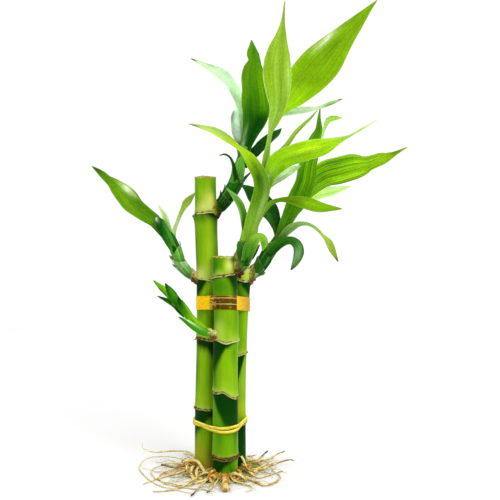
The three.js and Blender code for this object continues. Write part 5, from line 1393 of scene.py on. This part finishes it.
def leaf_finish(name, clear, roughness, powdery, lift):
    """A leaf skin that lets a share of the light through, with its roughness, powder and brightness"""
    finish, tree, shader, place = new_finish(name)
    own = put(tree, "ShaderNodeAttribute", attribute_name="tint")
    unfolded = put(tree, "ShaderNodeUVMap", uv_map="grown").outputs[0]
    veins = grain(tree, unfolded, (9, 1.1, 1), 1.0, 3)
    fine = grain(tree, unfolded, (30, 3, 1), 1.0, 2)
    blotches = grain(tree, place, (1, 1, 1), 75, 4)
    powder = grain(tree, place, (1, 1, 1), 800, 3)
    stripes = maths(tree, "MULTIPLY", maths(tree, "SUBTRACT", scaled(tree, veins, 0.36, 0.64, 0, 1), 0.55),
                    maths(tree, "MULTIPLY", own.outputs["Alpha"], 0.7))
    shade = maths(tree, "MULTIPLY", scaled(tree, fine, 0.3, 0.7, 0.86, 1.12),
                  scaled(tree, blotches, 0.3, 0.7, 0.88, 1.12))
    shade = maths(tree, "MULTIPLY", shade, scaled(tree, powder, 0.35, 0.65, 0.90 * lift, 1.08 * lift))
    shade = maths(tree, "MULTIPLY", shade, maths(tree, "ADD", stripes, 1.0))
    across = put(tree, "ShaderNodeSeparateXYZ", {0: unfolded}).outputs[0]
    swayed = maths(tree, "ADD", maths(tree, "MULTIPLY", across, 24.0),
                   maths(tree, "MULTIPLY", grain(tree, unfolded, (2, 0.5, 1), 1.0, 2), 7.0))
    drawn = scaled(tree, maths(tree, "ABSOLUTE", maths(tree, "SINE", swayed)), 0.0, 0.32, 0.42, 0)
    drawn = maths(tree, "MULTIPLY", drawn, own.outputs["Alpha"])
    shade = maths(tree, "MULTIPLY", shade, maths(tree, "SUBTRACT", 1.0, drawn))
    skin = times(tree, own.outputs["Color"], shade)
    skin = mixed(tree, scaled(tree, powder, 0.6, 0.78, 0, powdery), skin, paint(LEAF_BLOOM))
    tree.links.new(skin, shader.inputs["Base Color"])
    tree.links.new(scaled(tree, blotches, 0.3, 0.7, roughness, roughness + 0.15), shader.inputs["Roughness"])
    relief = maths(tree, "ADD", veins, maths(tree, "MULTIPLY", fine, 0.5))
    pressed_in(tree, shader, relief, 0.35, 0.00025)
    shader.inputs["Specular IOR Level"].default_value = 0.04
    through = put(tree, "ShaderNodeBsdfTranslucent", {"Color": skin})
    both = put(tree, "ShaderNodeMixShader", {0: clear, 1: shader.outputs[0], 2: through.outputs[0]})
    tree.links.new(both.outputs[0], tree.nodes["Material Output"].inputs["Surface"])
    return finish


leaf_finishes = {
    "leaf_bright": leaf_finish("bright_leaf", clear=0.30, roughness=0.38, powdery=0.12, lift=1.4),
    "leaf_mid": leaf_finish("middle_leaf", clear=0.28, roughness=0.40, powdery=0.08, lift=1.4),
    "leaf_dark": leaf_finish("dark_leaf", clear=0.12, roughness=0.42, powdery=0.12, lift=1.25),
    "leaf_pale": leaf_finish("pale_leaf", clear=0.5, roughness=0.45, powdery=0.0, lift=1.5),
}
for which, leaves in LEAVES.items():
    for number, leaf in enumerate(leaves, start=1):
        blade = leaf_blade(f"leaf_{which}_{number}_skin", leaf, len(which) * 31 + number)
        blade.data.materials.append(leaf_finishes[leaf.slot])
        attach(blade, "root")
        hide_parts(f"leaf_{which}_{number}")

# Foil band: one strip of thin gold-coloured foil, pulled round the three canes high up and stuck to itself
# at the back. It is pressed into fine level ribs, and a bronze panel with two raised lines faces the front.
BAND_HEIGHT = 115.6
BAND_TALL = 9.2
BAND_LEAN = (-0.02, -0.13)      # how far it rises for each millimetre of x and y
BAND_THICK = 0.5
FOIL_GOLD = "#ffce00"
FOIL_AMBER = "#e2a800"
FOIL_BRONZE = "#422c00"
FOIL_LINE = "#ecc890"
PANEL_LEFT = (-11.0, -10.4)     # across what x the bronze panel fades in
PANEL_RIGHT = (7.6, 7.9)        # and out
PANEL_LINES = (0.38, 0.82)      # the raised lines, as shares of the band's height


def wrapped_path(height, gap, lean=(0, 0), count=260):
    """A closed path pulled tight round the three canes at a height that leans by (x, y)"""
    rim = []
    for cane in CANES.values():
        x, y = cane_middle(cane, height)
        reach = cane_reach(cane, height) + gap
        angles = np.linspace(0, 2 * math.pi, 240, endpoint=False)
        rim += [(x + reach * math.cos(angle), y + reach * math.sin(angle)) for angle in angles]
    rim.sort()
    hull = []
    for points in (rim, rim[::-1]):
        chain = []
        for point in points:
            while len(chain) > 1 and ((chain[-1][0] - chain[-2][0]) * (point[1] - chain[-2][1])
                                      <= (chain[-1][1] - chain[-2][1]) * (point[0] - chain[-2][0])):
                chain.pop()
            chain.append(point)
        hull += chain[:-1]
    hull = np.array([*hull, hull[0]])
    steps = np.concatenate([[0], np.cumsum(np.linalg.norm(np.diff(hull, axis=0), axis=1))])
    wanted = np.linspace(0, steps[-1], count, endpoint=False)
    x, y = (np.interp(wanted, steps, hull[:, k]) for k in (0, 1))
    return np.stack([x, y, height + lean[0] * x + lean[1] * y], 1)


def band_tree():
    """A flat strip swept round its path, pressed out into ribs and a few soft creases"""
    tree, given = tree_for("foil_band", {"Height": 0.009, "Thickness": 0.0005, "Ribs": 9.0,
                                         "Rib depth": 0.0001, "Crinkle": 0.0002, "Finish": None})
    ring = put(tree, "GeometryNodeMeshToCurve", {"Mesh": given["Geometry"]}).outputs[0]
    even = put(tree, "GeometryNodeResampleCurve", {"Curve": ring, "Length": 0.0004}, mode="LENGTH")
    level = put(tree, "GeometryNodeSetCurveNormal", {"Curve": even.outputs[0]}, mode="Z_UP")
    strip = put(tree, "GeometryNodeCurvePrimitiveQuadrilateral",
                {"Width": given["Thickness"], "Height": given["Height"]})
    cut = put(tree, "GeometryNodeResampleCurve", {"Curve": strip.outputs[0], "Count": 120})
    swept = put(tree, "GeometryNodeCurveToMesh", {"Curve": level.outputs[0], "Profile Curve": cut.outputs[0]})
    place = put(tree, "GeometryNodeInputPosition").outputs[0]
    parts = put(tree, "ShaderNodeSeparateXYZ", {0: place}).outputs
    turns = maths(tree, "DIVIDE", maths(tree, "MULTIPLY", parts[2], given["Ribs"]), given["Height"])
    rib = maths(tree, "SINE", maths(tree, "MULTIPLY", turns, 2 * math.pi))
    rib = maths(tree, "MULTIPLY", rib, given["Rib depth"])
    creases = put(tree, "ShaderNodeTexNoise", {"Scale": 190.0, "Detail": 3.0}).outputs[0]
    crease = maths(tree, "MULTIPLY", maths(tree, "SUBTRACT", creases, 0.5), given["Crinkle"])
    facing = put(tree, "GeometryNodeInputNormal").outputs[0]
    push = times(tree, facing, maths(tree, "ADD", rib, crease))
    pressed = put(tree, "GeometryNodeSetPosition", {"Geometry": swept.outputs[0], "Offset": push})
    closing(tree, pressed.outputs[0], given)
    return tree


def foil_finish():
    finish, tree, shader, place = new_finish("gold_foil")
    parts = put(tree, "ShaderNodeSeparateXYZ", {0: place}).outputs
    tilt = maths(tree, "ADD", maths(tree, "MULTIPLY", parts[0], -BAND_LEAN[0]),
                 maths(tree, "MULTIPLY", parts[1], -BAND_LEAN[1]))
    level = scaled(tree, maths(tree, "ADD", parts[2], tilt), (BAND_HEIGHT - BAND_TALL / 2) * MM,
                   (BAND_HEIGHT + BAND_TALL / 2) * MM, 0, 1)
    flecks = grain(tree, place, (1, 1, 1.6), 560, 3)
    worn = grain(tree, place, (1, 1, 3), 420, 4)
    inside = maths(tree, "MULTIPLY", scaled(tree, parts[0], *(x * MM for x in PANEL_LEFT), 0, 1),
                   scaled(tree, parts[0], *(x * MM for x in PANEL_RIGHT), 1, 0))
    panel = maths(tree, "MULTIPLY", inside, scaled(tree, parts[1], 0.002, 0.003, 1, 0))
    away = [maths(tree, "ABSOLUTE", maths(tree, "SUBTRACT", level, height)) for height in PANEL_LINES]
    lines = maths(tree, "ADD", *(scaled(tree, distance, 0.015, 0.045, 1, 0) for distance in away))
    rows = scaled(tree, maths(tree, "SINE", maths(tree, "MULTIPLY", level, 75.0)), 0.0, 0.8, 0, 0.3)
    frayed = scaled(tree, parts[0], -0.0105, -0.0055, 0.20, -0.05)
    rubbed = scaled(tree, maths(tree, "ADD", flecks, frayed), 0.56, 0.66, 0, 1)
    rubbed = maths(tree, "ADD", rubbed, scaled(tree, level, 0.93, 0.98, 0, 0.55))
    ribbed = maths(tree, "MAXIMUM", rubbed, rows)
    tired = scaled(tree, worn, 0.42, 0.72, 0, 0.8)
    gold = mixed(tree, tired, paint(FOIL_GOLD) * 1.32, paint(FOIL_AMBER) * 1.1)
    # Painted shade: the gold darkens towards the right end, where the band turns away round the right cane
    gold = times(tree, gold, scaled(tree, parts[0], 0.009, 0.015, 1.0, 0.62))
    bronze = mixed(tree, ribbed, paint(FOIL_BRONZE), paint(FOIL_GOLD) * 0.75)
    colour = mixed(tree, panel, gold, bronze)
    raised = maths(tree, "MULTIPLY", maths(tree, "MULTIPLY", lines, panel), 0.85)
    colour = mixed(tree, raised, colour, paint(FOIL_LINE))
    tree.links.new(colour, shader.inputs["Base Color"])
    tree.links.new(scaled(tree, worn, 0.3, 0.7, 0.28, 0.42), shader.inputs["Roughness"])
    shader.inputs["Metallic"].default_value = 0.75
    shader.inputs["Specular IOR Level"].default_value = 0.1
    relief = maths(tree, "ADD", worn, maths(tree, "MULTIPLY", maths(tree, "ADD", lines, rows), panel))
    pressed_in(tree, shader, relief, 0.3, 0.0002)
    return finish


band_path = wrapped_path(BAND_HEIGHT, 0.4, BAND_LEAN)
foil_band = shaped("foil_band", path_host("band_path", [band_path], {}, closed=True), band_tree(),
                   {"Height": BAND_TALL * MM, "Thickness": BAND_THICK * MM, "Ribs": 11.0,
                    "Rib depth": 0.05 * MM, "Crinkle": 0.35 * MM, "Finish": foil_finish()})
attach(foil_band, "root")
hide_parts("gold_band")

# Tie: two turns of a soft, pale yellow raffia strand pulled round the three canes low down, its ends tucked
# under at the back. It lies a little crooked, lower at the front, and grips the canes by its own tension.
TIE_HEIGHT = 33.6
TIE_LEAN = (0.03, 0.09)
TURNS = [(1.1, 0.62), (-1.1, 0.66)]     # each turn's height above the middle and its gap off the canes
STRAND_THICK = 1.02
# The strands are cream on top and golden to brown below: their own golden bands, and painted highlight and
# painted shade
RAFFIA = "#fff572"
RAFFIA_GOLD_AND_SHADE = "#dcbc0c"
RAFFIA_SHADE = "#7c6c04"


def strand_tree():
    """A flattish strand swept round each path, which wanders a little and is rough with fibres"""
    tree, given = tree_for("raffia_strands", {"Sides": 26, "Thickness": 0.001, "Wander": 0.0004,
                                              "Finish": None})
    ring = put(tree, "GeometryNodeMeshToCurve", {"Mesh": given["Geometry"]}).outputs[0]
    even = put(tree, "GeometryNodeResampleCurve", {"Curve": ring, "Length": 0.0005}, mode="LENGTH")
    drift = put(tree, "ShaderNodeTexNoise", {"Scale": 70.0, "Detail": 2.0})
    centred = put(tree, "ShaderNodeVectorMath", {0: drift.outputs["Color"], 1: (0.5, 0.5, 0.5)},
                  operation="SUBTRACT")
    swing = put(tree, "ShaderNodeVectorMath", {0: centred.outputs[0], 1: (0.3, 0.3, 2.6)},
                operation="MULTIPLY")
    wide = times(tree, swing.outputs[0], given["Wander"])
    moved = put(tree, "GeometryNodeSetPosition", {"Geometry": even.outputs[0], "Offset": wide})
    level = put(tree, "GeometryNodeSetCurveNormal", {"Curve": moved.outputs[0]}, mode="Z_UP")
    round_shape = put(tree, "GeometryNodeCurvePrimitiveCircle", {"Resolution": given["Sides"], "Radius": 1.0})
    pressed = put(tree, "GeometryNodeTransform",
                  {"Geometry": round_shape.outputs[0], "Scale": (0.72, 1.08, 1)})
    swept = put(tree, "GeometryNodeCurveToMesh",
                {"Curve": level.outputs[0], "Profile Curve": pressed.outputs[0], "Scale": given["Thickness"]})
    ropes = put(tree, "ShaderNodeTexNoise", {"Scale": 900.0, "Detail": 2.0}).outputs[0]
    facing = put(tree, "GeometryNodeInputNormal").outputs[0]
    push = times(tree, facing, maths(tree, "MULTIPLY", maths(tree, "SUBTRACT", ropes, 0.5), 0.0003))
    rough = put(tree, "GeometryNodeSetPosition", {"Geometry": swept.outputs[0], "Offset": push})
    # How far each face looks down is stored as under, for a painted shade on the strands' undersides
    upward = put(tree, "ShaderNodeSeparateXYZ", {0: facing}).outputs[2]
    under = scaled(tree, upward, 0.7, -0.8, 0, 1)
    shaded = put(tree, "GeometryNodeStoreNamedAttribute",
                 {"Geometry": rough.outputs[0], "Name": "under", "Value": under})
    closing(tree, shaded.outputs[0], given)
    return tree


def raffia_finish():
    finish, tree, shader, place = new_finish("raffia")
    fibres = grain(tree, place, (0.12, 0.12, 1), 2600, 3)
    bands = grain(tree, place, (0.3, 0.3, 1), 700, 3)
    under = put(tree, "ShaderNodeAttribute", attribute_name="under").outputs["Fac"]
    # The golden bands are the strand's own; the gold and brown on the undersides are painted shade
    golden_and_shaded = maths(tree, "ADD", scaled(tree, bands, 0.45, 0.65, 0, 0.6),
                   scaled(tree, under, 0.1, 0.5, 0, 0.7))
    colour = mixed(tree, golden_and_shaded, paint(RAFFIA) * 1.25, paint(RAFFIA_GOLD_AND_SHADE) * 1.1)
    colour = mixed(tree, scaled(tree, under, 0.5, 1.0, 0, 0.85), colour, paint(RAFFIA_SHADE))
    colour = times(tree, colour, scaled(tree, fibres, 0.3, 0.7, 0.82, 1.14))
    tree.links.new(colour, shader.inputs["Base Color"])
    tree.links.new(scaled(tree, fibres, 0.3, 0.7, 0.5, 0.7), shader.inputs["Roughness"])
    pressed_in(tree, shader, fibres, 0.4)
    shader.inputs["Specular IOR Level"].default_value = 0.06
    return finish


strands = []
for offset, gap in TURNS:
    path = wrapped_path(TIE_HEIGHT, gap, TIE_LEAN)
    drawn_in = 0.62 + 0.38 * soft(-path[:, 1], -2, 7)
    round_way = np.arange(len(path)) / len(path)
    path[:, 2] += offset * drawn_in + 0.2 * np.sin(round_way * 6 * math.pi + offset)
    strands.append(path)
raffia_tie = shaped("raffia_strands", path_host("tie_paths", strands, {}, closed=True), strand_tree(),
                    {"Sides": 26, "Thickness": STRAND_THICK * MM, "Wander": 0.5 * MM,
                     "Finish": raffia_finish()})
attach(raffia_tie, "root")
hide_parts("raffia_tie")

# Studio: a plain white sheet that sweeps up behind, an even white room and one large soft light from the
# right front. The camera stands level at the height of the short canes' tops.
SHEET_HALF = 3.0
SHEET_FRONT = -2.5
SWEEP_START = 0.9
SWEEP_RADIUS = 0.5
SHEET_TOP = 2.6
PAPER_WHITE = (0.93, 0.93, 0.93)
LAMP_PLACE = (0.9, -1.1, 1.1)
LAMP_TARGET = (0, 0, 0.15)
LENS_PIXELS, PICTURE_PIXELS, SENSOR = 680, 500, 36

bend = np.linspace(0, math.pi / 2, 24)[1:]
profile = [(SHEET_FRONT, 0), (SWEEP_START, 0)]
profile += [(SWEEP_START + SWEEP_RADIUS * math.sin(a), SWEEP_RADIUS * (1 - math.cos(a))) for a in bend]
profile.append((SWEEP_START + SWEEP_RADIUS, SHEET_TOP))
corners = [(x, y, z) for y, z in profile for x in (-SHEET_HALF, SHEET_HALF)]
sweep = bpy.data.meshes.new("white_sheet")
sweep.from_pydata(corners, [], [(2 * k, 2 * k + 1, 2 * k + 3, 2 * k + 2) for k in range(len(profile) - 1)])
sweep.shade_smooth()
sheet = bpy.data.objects.new("white_sheet", sweep)
bpy.context.scene.collection.objects.link(sheet)

paper, tree, shader, place = new_finish("white_paper")
weave = scaled(tree, grain(tree, place, (1, 1, 1), 14), 0, 1, 0.985, 1.0)
tree.links.new(times(tree, PAPER_WHITE, weave), shader.inputs["Base Color"])
shader.inputs["Roughness"].default_value = 0.9
shader.inputs["Specular IOR Level"].default_value = 0.1
sweep.materials.append(paper)

room = bpy.data.worlds.new("white_room")
room.use_nodes = True
room.node_tree.nodes["Background"].inputs["Color"].default_value = (1, 1, 1, 1)
room.node_tree.nodes["Background"].inputs["Strength"].default_value = 1.0
bpy.context.scene.world = room

light = bpy.data.lights.new("window_light", "AREA")
light.shape = "SQUARE"
light.size = 0.9
light.energy = 12
lamp = bpy.data.objects.new("window_light", light)
lamp.location = LAMP_PLACE
lamp.rotation_euler = (Vector(LAMP_TARGET) - Vector(LAMP_PLACE)).to_track_quat("-Z", "Y").to_euler()
bpy.context.scene.collection.objects.link(lamp)

lens = bpy.data.cameras.new("camera")
lens.sensor_width = SENSOR
lens.lens = LENS_PIXELS / PICTURE_PIXELS * SENSOR
lens.clip_start = 0.01
camera = bpy.data.objects.new("camera", lens)
camera.location = (0.0164, -0.454, 0.151)
camera.rotation_euler = (math.radians(90), 0, 0)
bpy.context.scene.collection.objects.link(camera)
bpy.context.scene.camera = camera
bpy.context.scene.view_settings.view_transform = "Standard"
